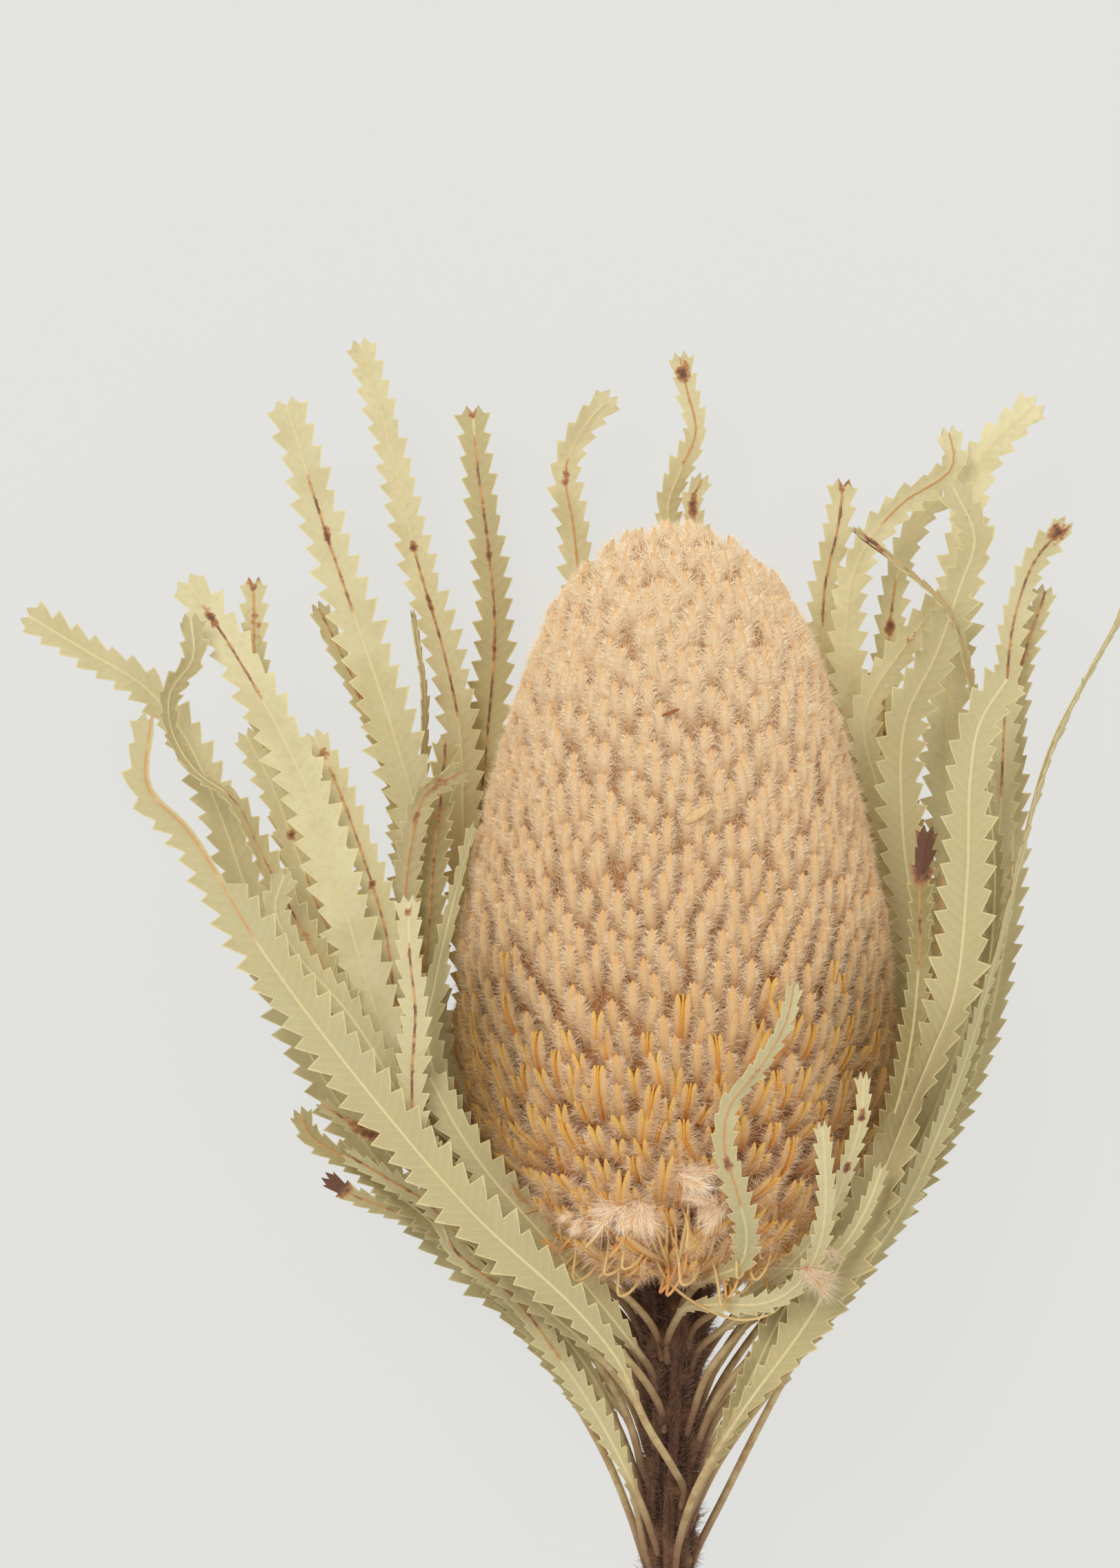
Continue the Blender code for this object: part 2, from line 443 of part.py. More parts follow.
def build_stem(parent):
    """The woody stem: ribs run along it, and the scars of shed leaves are low bumps wound round it."""
    path, length = smooth_path(STEM_PATH, STEM_RINGS)
    shares, radii = zip(*STEM_RADII)
    golden = math.pi * (3 - math.sqrt(5))
    points, faces = [], []
    for ring, centre in enumerate(path):
        share = ring / (STEM_RINGS - 1)
        along = path[min(ring + 1, STEM_RINGS - 1)] - path[max(ring - 1, 0)]
        along /= np.linalg.norm(along)
        side = np.cross(along, (0, 0, 1))
        side /= np.linalg.norm(side)
        up = np.cross(side, along)
        for k in range(STEM_SIDES):
            around = 2 * math.pi * k / STEM_SIDES
            radius = float(np.interp(share, shares, radii)) + STEM_RIB * (1 if k % 2 else -1)
            for scar in range(STEM_SCARS):
                at = STEM_SCARS_FROM + (0.98 - STEM_SCARS_FROM) * scar / STEM_SCARS
                gap_along = (share - at) * length / 2.6
                gap_round = math.remainder(around - golden * scar, 2 * math.pi) * radius / 1.6
                radius += STEM_SCAR_HEIGHT * math.exp(-(gap_along**2) - gap_round**2) * (0 < ring < STEM_RINGS - 1)
            points.append(centre + radius * (math.sin(around) * side + math.cos(around) * up))
    for ring in range(STEM_RINGS - 1):
        for k in range(STEM_SIDES):
            a, b = ring * STEM_SIDES + k, ring * STEM_SIDES + (k + 1) % STEM_SIDES
            faces.append((a, b, b + STEM_SIDES, a + STEM_SIDES))
    faces.append(tuple(reversed(range(STEM_SIDES))))
    faces.append(tuple(range(len(points) - STEM_SIDES, len(points))))
    return add_object("stem", points, faces, material("bark"), parent)


def leaf_frames(rib, turns):
    """Side and face directions at each point of a midrib, its face turned by the given degrees."""
    along = np.gradient(rib, axis=0)
    along /= np.linalg.norm(along, axis=1)[:, None]
    angle = np.radians(np.interp(np.linspace(0, 1, len(rib)), np.linspace(0, 1, len(turns)), turns))
    up = np.array([0, 0, 1.0]) - along * along[:, 2:3]
    up /= np.linalg.norm(up, axis=1)[:, None]
    side = np.cross(along, up)
    face = up * np.cos(angle)[:, None] + side * np.sin(angle)[:, None]
    return np.cross(along, face), face


def strip(here, ahead):
    """The four triangles over a blade between two stations, split alike on both faces."""
    return [
        (here[1], here[2], ahead[2]),
        (here[1], ahead[2], ahead[1]),
        (here[1], ahead[1], ahead[0]),
        (here[1], ahead[0], here[0]),
    ]


def half_width(share, width):
    """Half the leaf's width over its teeth: a bare stalk, then a blade that widens slowly and ends nearly square."""
    blade = min(1.0, max(0.0, (share - 0.12) / 0.26))
    swell = blade * blade * (3 - 2 * blade)
    taper = 1 - 0.3 * max(0.0, (share - 0.72) / 0.28)
    return STALK_HALF_WIDTH + (width / 2 - STALK_HALF_WIDTH) * swell * taper


def build_leaf(name, leaf, look, parent):
    """One leaf: a thin arched blade with teeth cut along both edges, narrowing to a stalk that leaves the stem."""
    y, degrees = leaf["stem"]
    centre, radius = stem_at(y)
    around = math.radians(degrees)
    out = np.array([math.sin(around), 0, math.cos(around)])
    foot = centre + (radius + STEM_RIB + JOIN_GAP + STALK_HALF_THICKNESS) * out
    heel = foot + np.array([0, HEEL_RISE, 0]) + HEEL_RISE * out
    route = [foot, heel, *leaf["rib"]]
    _, length = smooth_path(route, 2)
    stations = max(8, round(length / TOOTH_PITCH)) + 1
    fine = 8
    rib, _ = smooth_path(route, (stations - 1) * fine + 1)
    side, face = leaf_frames(rib, leaf["turn"])
    torn_from = 1 - leaf.get("torn", 0)
    points, faces = [], []

    def on_blade(index, reach, lift):
        points.append(rib[index] + side[index] * reach + face[index] * (abs(reach) * BLADE_FOLD + lift))

    for station in range(stations):
        share = station / (stations - 1)
        half = half_width(share, leaf["width"])
        bladed = half > BLADE_FROM
        notch = half * NOTCH_SHARE if bladed else STALK_HALF_WIDTH
        middle = RIB_HALF_THICKNESS if bladed else STALK_HALF_THICKNESS
        right = notch if share <= torn_from else STALK_HALF_WIDTH
        for way in (1, -1):
            on_blade(station * fine, -notch, way * EDGE_HALF_THICKNESS)
            on_blade(station * fine, 0, way * middle)
            on_blade(station * fine, right, way * EDGE_HALF_THICKNESS)
    for station in range(stations - 1):
        here = range(6 * station, 6 * station + 6)
        ahead = range(6 * station + 6, 6 * station + 12)
        faces += strip(here[:3], ahead[:3])
        faces += [corners[::-1] for corners in strip(here[3:], ahead[3:])]
        tooth_share = (station + TOOTH_FORWARD) / (stations - 1)
        half = half_width(tooth_share, leaf["width"])
        index = round((station + TOOTH_FORWARD) * fine)
        for which, way in ((0, -1), (2, 1)):
            rim = [here[which], ahead[which], ahead[which + 3], here[which + 3]][::-way]
            if half > BLADE_FROM and (way < 0 or tooth_share <= torn_from):
                on_blade(index, way * half, 0)
                faces += [(a, b, len(points) - 1) for a, b in zip(rim, rim[1:] + rim[:1])]
            else:
                faces.append(tuple(rim))
    faces.append((2, 1, 0, 3, 4, 5))
    last = 6 * (stations - 1)
    faces.append((last, last + 1, last + 2, last + 5, last + 4, last + 3))
    return add_object(name, points, faces, look, parent)


def main():
    for old in list(bpy.data.objects):
        bpy.data.objects.remove(old)
    root = bpy.data.objects.new("banksia", None)
    root.location = (-PLAN_MIDDLE[0] * MM, -PLAN_MIDDLE[1] * MM, 0)
    bpy.context.scene.collection.objects.link(root)
    build_head(root)
    build_stem(root)
    look = material("leaf")
    for name, leaf in LEAVES.items():
        build_leaf(name, leaf, look, root)


main()
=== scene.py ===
"""The dried banksia cone as it looks: woolly florets, styles, leaves with teeth and ribs, and a hairy stem.

Lengths are millimetres in the same plan as the part's source: x to the right and y towards the head's tip,
from a point beside the upper stem, and z up from the surface. PLAN_MIDDLE takes them to the frame's origin.
"""

import math

import bpy
import numpy as np
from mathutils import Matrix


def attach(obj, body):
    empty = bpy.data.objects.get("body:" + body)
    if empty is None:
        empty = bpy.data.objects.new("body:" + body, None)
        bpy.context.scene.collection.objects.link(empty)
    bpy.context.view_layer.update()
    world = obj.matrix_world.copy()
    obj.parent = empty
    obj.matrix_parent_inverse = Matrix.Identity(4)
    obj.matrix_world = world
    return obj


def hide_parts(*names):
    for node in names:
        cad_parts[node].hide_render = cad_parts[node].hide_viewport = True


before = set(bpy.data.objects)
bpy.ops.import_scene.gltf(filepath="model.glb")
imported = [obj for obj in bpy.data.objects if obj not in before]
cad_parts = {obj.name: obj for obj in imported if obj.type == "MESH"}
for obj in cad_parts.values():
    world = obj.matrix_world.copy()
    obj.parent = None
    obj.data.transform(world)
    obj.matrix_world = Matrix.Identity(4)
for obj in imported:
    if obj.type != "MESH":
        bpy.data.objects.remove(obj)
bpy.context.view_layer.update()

MM = 0.001
PLAN_MIDDLE = (-16.0, 36.0)
TIPWARD = np.array([0.0, 1.0, 0.0])
rng = np.random.default_rng(11)

# The flower head.
HEAD_X = -2.2
HEAD_BASE_Y = 16.0
HEAD_AXIS_Z = 28.0
HEAD_PROFILE = (
    (0.0, 9.5),
    (4.4, 17.5),
    (13.4, 25.4),
    (24.8, 29.9),
    (36.2, 31.6),
    (47.6, 30.9),
    (58.9, 28.9),
    (70.3, 26.2),
    (81.7, 22.9),
    (93.0, 19.0),
    (98.7, 16.0),
    (104.4, 11.0),
    (107.6, 5.5),
    (108.8, 0.6),
)
PRESSED_BELOW = 1.6
SIDE_STEPS = 420
SIDE_WINDOW = 33

# The florets: a row's count falls in steps as the head narrows, so that the columns keep their spacing.
ROW_PITCH = 2.55
ROW_COUNTS = ((25.0, 40), (18.5, 32), (12.5, 23), (7.0, 14), (3.0, 8), (0.0, 4))
FLORET_LENGTH = 8.0
FLORET_RADIUS = 0.8
FLORET_STEPS = np.array([0.0, 0.22, 0.42, 0.6, 0.76, 0.88, 0.96, 1.0])
FLORET_SWELL = np.array([0.6, 0.76, 0.93, 1.02, 0.95, 0.7, 0.4, 0.18])
FLORET_LEAN = math.radians(22.0)
FLORET_BEND = math.radians(26.0)
CORE_DEPTH = 1.7
CORE_GRID = (60, 72)
HOLES = ((-10.6, 76.1), (-12.7, 60.0), (-12.4, 58.2))
HOLE_RADIUS = 1.5
FIRST_ROW = 3.0
COLUMN_JITTER = 0.27
PRONG_GIRTH = 0.66
SPLIT_STYLE_RADIUS = 0.15
OPEN_BELOW = 43.0
OPEN_BLEND = 16.0

# The stem.
STEM_PATH = (
    (-2.3, 15.7, 28.0),
    (-2.6, 0.0, 28.0),
    (-2.7, -25.0, 27.5),
    (-2.6, -52.0, 26.0),
    (-2.4, -79.0, 23.5),
)
STEM_RADII = ((0.0, 6.2), (0.06, 4.9), (0.16, 3.5), (0.3, 3.15), (1.0, 3.25))
STEM_GRID = (200, 60)
# Cushions under the stalks, and the scars of shed leaves: height and half width.
CUSHION = (0.8, 1.3)
SHED_SCAR = (0.95, 0.8)
SHED_LEAVES = 44
SHED_FROM = 5.0
SHED_OVER = 90.0
SHED_TURN = 2.4
STEM_HAIRS = 44000
STEM_HAIR_LENGTH = (0.6, 2.1)
STEM_HAIR_HALF_WIDTH = (0.03, 0.055)

# The leaves.
FOOT_DROP = 3.0
STALK_HALF_WIDTH = 0.55
LEAF_HALF_THICKNESS = 0.17
RIB_HALF_WIDTH = 0.3
RIB_RISE = 0.2
# How far a blade's face stands off its middle: at the rib, beside it, halfway out and at the edge.
FACE_LIFTS = (LEAF_HALF_THICKNESS + RIB_RISE, LEAF_HALF_THICKNESS, LEAF_HALF_THICKNESS, 0.08)
NOTCH_SHARE = 0.57
# How far a tooth's point leans ahead, as a share of its pitch, for these widths of leaf.
TOOTH_FORWARD = ((4.0, 7.0), (0.92, 0.78))
TOOTH_PITCH = 1.7
PITCH_FOR_WIDTH = 0.2
FEWEST_TEETH = 12
TOOTH_JAG = 0.08
NOTCH_JAG = 0.05
TOOTH_FLUTTER = 0.09
TOOTH_AHEAD = 0.3
BLUNT_END = 0.62
BLADE_FOLD = 0.16
# Points across a blade's face, steps of its rib in each tooth, and how far its end's points stand ahead.
COLUMNS = 7
FINE = 10
END_HOLLOW = (-1.0, -0.7, 0.9, -0.3)
# The lengths that stand for 1 in the blade layer, across and along.
LAYER_WIDTH = 12.0
LAYER_LENGTH = 200.0

# One entry for each leaf. stem is its foot: y on the stem, and degrees round it from above to the right.
# width is over the teeth. turn is the blade's twist in degrees at even steps. torn is the share of the end
# that lacks its right half. Its tone runs from pale 0 to olive 1: partly the leaf's own olive colour, partly
# painted shade on leaves that lie low or behind. brown holds stretches of the midrib (from share, to share,
# tone), tone 0.5 orange and 1 dark. stains holds spots (share, half length, half width, strength). rib is
# the midrib's path.
LEAVES = {
    "leaf_left_long": dict(
        stem=(-16.0, 25), width=8.8, turn=(0, 8, 10, 0, -10), torn=0.2, olive_and_shade=0.6,
        brown=((0.74, 1.0, 0.5),),
        rib=((-2.4, -12.5, 36.8), (-6.5, -5.5, 41), (-10.5, 3.5, 44), (-17, 11.5, 46), (-31, 24.5, 47.3),
             (-46.5, 42.5, 47.5), (-61.5, 62.5, 46.5), (-72, 79.5, 44.5), (-78, 86, 43), (-77.5, 95.5, 42)),
    ),
    "leaf_left_short": dict(
        stem=(-4.5, -20), width=5.2, turn=(0, 0, 0, -8, -12), olive_and_shade=0.35, brown=((0.5, 0.93, 1.0),),
        stains=((0.985, 2, 1.2, 0.6), (0.62, 2, 0.7, 0.7)),
        rib=((-7.5, 1.5, 37.5), (-15, 9.3, 41), (-26, 18.8, 43), (-35, 28, 43.8), (-39.5, 37, 44),
             (-40, 44, 44.5), (-39.5, 54, 45.3), (-40.3, 62, 45.5), (-40.5, 69.5, 45)),
    ),
    "leaf_left_hooked": dict(
        stem=(-7.0, -50), width=5.6, turn=(0, 5, 10, 10, 20), olive_and_shade=0.5,
        rib=((-11.5, 2, 37.3), (-26, 16, 40.5), (-37, 31, 41), (-42.8, 43, 41), (-49.3, 53.4, 41),
             (-57, 62.2, 41), (-59.8, 68.4, 41.3), (-58.5, 73.3, 41.7)),
    ),
    "leaf_left_broad": dict(
        stem=(2.0, -70), width=8.6, turn=(0, 0, 5, 0, -5), olive_and_shade=0.15, brown=((0.86, 0.97, 1.0),),
        stains=((0.955, 1.6, 0.9, 0.9),),
        rib=((-9.5, 6, 31), (-22, 17.5, 32.3), (-35, 33.5, 33), (-43.6, 48.8, 33.3), (-50, 68.4, 33.5),
             (-56.5, 88.2, 34), (-65.8, 105.3, 34.5), (-72.6, 115.4, 35)),
    ),
    "leaf_left_spotted": dict(
        stem=(-1.5, -95), width=6.0, turn=(0, 0, 5, 10, 0), olive_and_shade=0.35, brown=((0.7, 0.8, 0.8),),
        stains=((0.86, 1, 1.2, 0.9),),
        rib=((-9.5, 5, 27.5), (-22, 18.5, 27.6), (-36, 35, 27.8), (-46, 52.5, 28), (-53.5, 67.5, 28),
             (-57.5, 78, 28), (-60.5, 86, 28.5), (-64.3, 93.4, 29)),
    ),
    "leaf_left_orange": dict(
        stem=(-10.5, -125), width=5.5, olive_and_shade=0.3, brown=((0.7, 1.0, 0.5),),
        stains=((0.95, 9, 2.2, 0.46), (1.0, 1, 2, 0.6)),
        rib=((-9, -3, 22.5), (-22, 12, 20), (-38, 31, 19.6), (-51, 54, 20), (-57, 74, 21.5), (-61, 92, 24),
             (-63, 104, 26), (-63.2, 115.5, 28)),
    ),
    "leaf_left_brown_rib": dict(
        stem=(7.5, -75), width=6.0, turn=(0, 0, 0, 0, 10), olive_and_shade=0.3, brown=((0.6, 0.95, 0.9),),
        stains=((0.78, 1.2, 0.8, 0.8), (0.97, 1.5, 1.5, 0.7)),
        rib=((-10, 11.5, 29.8), (-22.5, 20.5, 30.2), (-35, 36.5, 30.2), (-42.3, 54, 30.3),
             (-44.1, 65.3, 30.5), (-48.2, 78.4, 30.5), (-51.1, 86.1, 30.6), (-54.4, 93.2, 31)),
    ),
    "leaf_left_twisted": dict(
        stem=(-13.0, -75), width=5.8, turn=(0, 10, 15, 20, 35, 75, 20), olive_and_shade=0.6, brown=((0.5, 0.8, 0.9),),
        stains=((0.64, 3, 2, 0.5),),
        rib=((-10, -3, 32), (-20, 11.5, 34.7), (-36, 30, 35.5), (-47, 49, 36), (-56, 65, 36), (-62, 76, 36),
             (-66, 83.8, 36), (-71.5, 88, 36), (-75, 94, 36.5), (-75.2, 99.5, 37), (-71.8, 104.5, 38),
             (-72, 110, 38.5)),
    ),
    "leaf_far_left": dict(
        stem=(-27.0, -120), width=7.0, turn=(0, 0, 0, 0, 15, 15), olive_and_shade=0.4, stains=((1.0, 1, 3, 0.4),),
        rib=((-9, -19, 23.5), (-13, -10, 20.5), (-24, 7, 18.5), (-38, 22, 18), (-50, 38, 19), (-59, 55, 22),
             (-64, 70, 26), (-68.5, 83, 29), (-74, 94.5, 30.5), (-79.3, 100.6, 31), (-86.5, 105, 32),
             (-95.6, 110.5, 33)),
    ),
    "leaf_top_left": dict(
        stem=(1.0, -128), width=8.6, turn=(0, 0, -5, 0, 5), olive_and_shade=0.25, brown=((0.8, 0.93, 1.0),),
        stains=((0.875, 2.0, 0.5, 0.9),),
        rib=((-8.5, 7, 20), (-19, 19, 17.5), (-34.5, 38, 16.8), (-38.5, 55, 17), (-39.3, 70, 18.5),
             (-40, 83, 20), (-42.5, 92, 20.5), (-47.2, 106.3, 21), (-52.9, 122.9, 22), (-56.5, 134.3, 23),
             (-58.6, 141.5, 24)),
    ),
    "leaf_top_tallest": dict(
        stem=(4.5, -148), width=6.3, turn=(0, 5, 10, 5, 0), olive_and_shade=0.2, brown=((0.66, 0.82, 0.9),),
        stains=((0.815, 0.9, 1.0, 1.0), (0.76, 3.0, 0.5, 0.8)),
        rib=((-8, 11, 17), (-15.5, 21, 10), (-26.5, 37, 6.2), (-31.5, 55, 5.9), (-33, 75, 6.2),
             (-33.4, 92.9, 7.5), (-35.8, 105.3, 8.8), (-39.7, 118.8, 10.5), (-44.1, 137.4, 13),
             (-48, 150.6, 15)),
    ),
    "leaf_top_dark": dict(
        stem=(8.0, -158), width=6.8, olive_and_shade=0.6, brown=((0.6, 0.97, 1.0),),
        stains=((0.86, 2, 0.6, 0.8), (0.77, 2, 0.5, 0.8), (1.0, 0.8, 2, 0.6)),
        rib=((-6.5, 14, 15), (-14, 23, 7), (-25, 42, 3.4), (-29.5, 60, 3), (-30.8, 77, 3.2),
             (-29.3, 95.5, 4.5), (-28.4, 108.4, 6), (-29.3, 120.8, 7.5), (-31.1, 134.3, 9),
             (-31.6, 141, 9.5)),
    ),
    "leaf_left_folded": dict(
        stem=(-8.0, -145), width=5.5, turn=(0, 0, 0, 15, 45), olive_and_shade=0.35, brown=((0.78, 1.0, 0.9),),
        stains=((0.9, 5, 1.2, 0.6),),
        rib=((-8, 0, 18.5), (-17, 14, 14.5), (-30, 32, 13.4), (-37, 50, 13.4), (-40, 65, 13.8),
             (-41.5, 79.9, 14.5), (-44.6, 91.8, 15.5), (-48.7, 100.6, 16), (-54.2, 112, 17)),
    ),
    "leaf_left_sliver": dict(
        stem=(-15.0, -150), width=3.8, turn=(0, 0, 20, 60, 75), olive_and_shade=0.5,
        rib=((-7.5, -6, 17.5), (-15, 8, 12), (-29, 33, 9.8), (-37, 55, 9.8), (-39.5, 75, 10.5),
             (-38.9, 91.3, 12.5), (-38.9, 101.1, 14.5), (-40.4, 111, 16)),
    ),
    "leaf_left_inner": dict(
        stem=(-5.5, -110), width=5.4, olive_and_shade=0.9, brown=((0.6, 1.0, 0.9),), stains=((0.9, 5, 2, 0.5),),
        rib=((-9.5, 0.5, 24.5), (-18, 12, 22.6), (-28, 24.5, 22.2), (-37, 42, 22.2), (-39, 56, 22.5),
             (-38, 64.3, 23), (-37, 77, 24), (-36, 85, 25), (-35.4, 92.3, 25.5)),
    ),
    "leaf_left_curled_tip": dict(
        stem=(4.0, -105), width=5.4, turn=(0, 0, 0, 0, 10, 40), olive_and_shade=0.6, brown=((0.75, 1.0, 0.6),),
        stains=((0.96, 5, 2.4, 0.5), (0.9, 1.5, 0.8, 0.8)),
        rib=((-9.5, 8.5, 26), (-17, 15, 25.3), (-28.5, 25.5, 25), (-38.5, 43.5, 25), (-41, 58, 25.5),
             (-41.3, 70, 26.5), (-40.4, 78, 28), (-38.6, 84.6, 29), (-36.3, 86.6, 30), (-33, 88.2, 31)),
    ),
    "leaf_left_beside_head": dict(
        stem=(6.0, -25), width=6.2, turn=(0, -5, -10, -10, -60, -75), olive_and_shade=0.7,
        rib=((-6.5, 9.5, 36), (-10, 13, 36.8), (-17.6, 18.3, 37.3), (-24.7, 24.3, 37.1),
             (-30.8, 31.5, 36.3), (-35.2, 40, 35.6), (-38, 50, 35.6), (-36.8, 57, 34.5), (-34.3, 68, 33),
             (-31, 80, 32)),
    ),
    "leaf_left_under_head": dict(
        stem=(1.0, -40), width=6.2, turn=(0, 0, 0, -5, -5), olive_and_shade=0.6,
        rib=((-8, 5, 36.5), (-13, 11.5, 38.5), (-20.8, 20.8, 40), (-29, 30.2, 40.5), (-34, 37.5, 40.5),
             (-37.5, 44.1, 40)),
    ),
    "leaf_low_upper": dict(
        stem=(-17.0, -88), width=3.2, turn=(0, 0, 0, 10, 20), olive_and_shade=0.6, brown=((0.7, 1.0, 0.9),),
        stains=((0.9, 6, 1.5, 0.7),),
        rib=((-9.5, -9, 28.2), (-15, 2, 29.8), (-25, 14.5, 30.6), (-35, 25.5, 31.8), (-43, 33.7, 34),
             (-48.2, 36.8, 35), (-53.1, 40, 36)),
    ),
    "leaf_low_hooked": dict(
        stem=(-15.0, -110), width=4.5, turn=(0, 0, 0, 10, 10), olive_and_shade=0.75, brown=((0.8, 1.0, 0.6),),
        rib=((-9, -6, 25.8), (-22, 8, 25.2), (-36, 21.5, 26), (-44, 28, 28), (-49.3, 31.7, 29.7),
             (-54.9, 35.3, 31), (-56.4, 38.7, 32)),
    ),
    "leaf_low_middle": dict(
        stem=(-21.5, -98), width=3.6, olive_and_shade=0.5, brown=((0.7, 1.0, 0.8),),
        rib=((-9.5, -13, 26.4), (-20, 3, 27.3), (-32, 19, 28.6), (-37.9, 25.5, 30), (-43.6, 29.1, 31.5),
             (-49.5, 32.7, 32.5)),
    ),
    "leaf_low_red_tip": dict(
        stem=(-19.5, -125), width=3.8, turn=(0, 0, 0, -10, -10), olive_and_shade=0.6, brown=((0.8, 1.0, 0.8),),
        stains=((0.985, 3, 3, 1.0),),
        rib=((-9, -11, 23.8), (-19, 3, 22.8), (-30, 15, 23), (-37.1, 21.6, 24.5), (-43, 24.4, 26),
             (-49, 26.8, 27.5), (-52.4, 29.1, 28)),
    ),
    "leaf_low_drooping": dict(
        stem=(-22.5, -40), width=4.0, turn=(0, 0, 10, 20, 20), olive_and_shade=0.45, brown=((0.55, 0.95, 0.9),),
        rib=((-8.5, -14.5, 33.8), (-14, -4, 35.3), (-20, 5, 36.6), (-26, 12.8, 37.6), (-30.5, 16, 38),
             (-34.2, 19.3, 38), (-36, 23.5, 38)),
    ),
    "leaf_low_edgewise": dict(
        stem=(-25.5, -60), width=3.4, turn=(0, 20, 60, 75, 70), olive_and_shade=0.7,
        rib=((-8.5, -15, 31), (-12, -7, 32.4), (-18.8, 4.5, 33.2), (-24.9, 12, 33.6), (-29, 16.3, 33.7),
             (-32.7, 20.6, 33.8)),
    ),
    "leaf_tip_winding": dict(
        stem=(6.5, 168), width=5.0, turn=(0, 0, 0, 10, 20, -10), olive_and_shade=0.25, brown=((0.9, 1.0, 0.7),),
        stains=((0.985, 2.2, 1.6, 0.8), (0.9, 1, 0.8, 0.5)),
        rib=((2, 13, 17), (8, 21, 9.5), (17, 36, 3.4), (20, 50, 2.4), (19.5, 64, 2.2), (14, 85, 2.6),
             (4, 108, 5), (-3, 126, 9), (-1.2, 132.2, 10.5), (1.1, 137.9, 12), (-0.2, 144.1, 13),
             (-1.2, 148.8, 14)),
    ),
    "leaf_tip_small": dict(
        stem=(3.0, 155), width=4.5, turn=(0, 0, 0, 0, 10), olive_and_shade=0.3, brown=((0.9, 1.0, 0.9),),
        stains=((0.97, 3, 1, 0.8),),
        rib=((4, 10, 17.5), (13, 22, 11), (24, 40, 7.4), (26, 60, 6.6), (20, 85, 6.5), (8, 110, 9),
             (0.5, 127, 12), (2, 131, 13)),
    ),
    "leaf_tip_bent": dict(
        stem=(10.0, -178), width=6.3, turn=(0, 0, 0, 0, 0, 20), olive_and_shade=0.2, brown=((0.8, 0.93, 0.7),),
        stains=((0.91, 2, 1, 0.7),),
        rib=((-4.5, 16, 13.5), (-11, 23, 6.5), (-20, 34, 2.2), (-23, 48, 1.6), (-23, 62, 1.6),
             (-18.5, 85, 2.2), (-15.5, 105, 4.5), (-16.7, 122.9, 7.5), (-18, 132.7, 9),
             (-15.2, 138.9, 10.5), (-11.5, 143, 11.5)),
    ),
    "leaf_right_cut_tip": dict(
        stem=(4.5, 135), width=6.0, olive_and_shade=0.2, brown=((0.85, 1.0, 0.9),), stains=((1.0, 0.8, 3, 0.6),),
        rib=((5, 11, 20), (14, 21, 14.5), (25.5, 38, 11.8), (29.8, 56, 11.8), (27, 76, 11.8),
             (21, 95, 12.3), (19.8, 113.6, 13.5), (21.9, 124, 14.5), (22.6, 130.1, 15)),
    ),
    "leaf_right_arching": dict(
        stem=(1.0, 125), width=6.3, turn=(0, 0, 0, 0, 10, 30), olive_and_shade=0.05, brown=((0.88, 1.0, 0.6),),
        rib=((5, 7, 22.5), (15, 18, 17.8), (28, 36, 16.2), (33, 54, 16), (30.5, 74, 15.8), (25.5, 92, 16),
             (23, 107, 17), (24.8, 119.2, 18), (30.7, 127, 19.5), (38.2, 132.5, 21), (37.8, 137.5, 22)),
    ),
    "leaf_right_rear": dict(
        stem=(-6.5, 148), width=5.6, turn=(0, 0, 0, 0, 0, 20), olive_and_shade=0.2, brown=((0.75, 0.9, 0.9),),
        stains=((0.86, 1.5, 1.2, 0.9),),
        rib=((4, 1, 18), (14, 15, 11.5), (28, 35, 8), (34.5, 54, 7.6), (33.5, 74, 7.6), (29, 92, 8),
             (29.3, 106, 9), (30.9, 118, 10), (34.1, 125.7, 11), (37.2, 128.5, 12)),
    ),
    "leaf_right_slanting": dict(
        stem=(-7.5, 115), width=6.3, turn=(0, 0, 0, 0, 10), olive_and_shade=0.25, stains=((0.95, 3, 1, 0.5),),
        rib=((5, 0, 24.3), (16, 15, 21.5), (29.5, 34, 20.5), (35, 52, 20), (32, 70, 19.8), (28, 84, 20),
             (25.5, 96, 20.5), (30.7, 105.4, 21.5), (36.5, 113, 22.5)),
    ),
    "leaf_right_tallest": dict(
        stem=(-11.0, 130), width=7.6, turn=(0, 0, 0, 0, -5, -15), olive_and_shade=0.1, brown=((0.85, 0.9, 0.8),),
        stains=((0.89, 0.8, 0.6, 0.9),),
        rib=((5, -3, 20.5), (17, 13, 14.5), (32.5, 37, 12), (38.5, 58, 11.5), (38.5, 76, 11.8),
             (37.5, 92, 12.8), (39.2, 110, 14.5), (40.5, 124, 16), (43.1, 134, 17.5), (50.6, 141.6, 19)),
    ),
    "leaf_right_wide": dict(
        stem=(-3.5, 95), width=7.6, turn=(0, 0, 0, 0, 0, 10), olive_and_shade=0.5, stains=((0.97, 3, 2, 0.4),),
        rib=((5, 4, 26.5), (16, 18, 24.5), (30.5, 37, 24), (34.5, 54, 24), (32.5, 68, 23.8), (31, 80, 24),
             (31.3, 95.1, 25), (35.8, 105.1, 26), (39.1, 114.7, 27), (41.3, 122, 28), (38.2, 129.2, 29)),
    ),
    "leaf_right_edgewise": dict(
        stem=(-14.5, 80), width=3.6, turn=(0, 0, 0, 20, 60, 70), olive_and_shade=0.7, brown=((0.8, 1.0, 0.8),),
        stains=((0.98, 3, 2, 0.8),),
        rib=((4.5, -7, 30), (13, 3.5, 30.5), (24.5, 17, 30.8), (36.5, 36, 31), (42.3, 55, 31), (44, 72, 31),
             (42.5, 88, 31.5), (40.3, 101.5, 32.5), (37.2, 111.3, 33.3), (30.7, 117.5, 34),
             (23.8, 122.7, 35)),
    ),
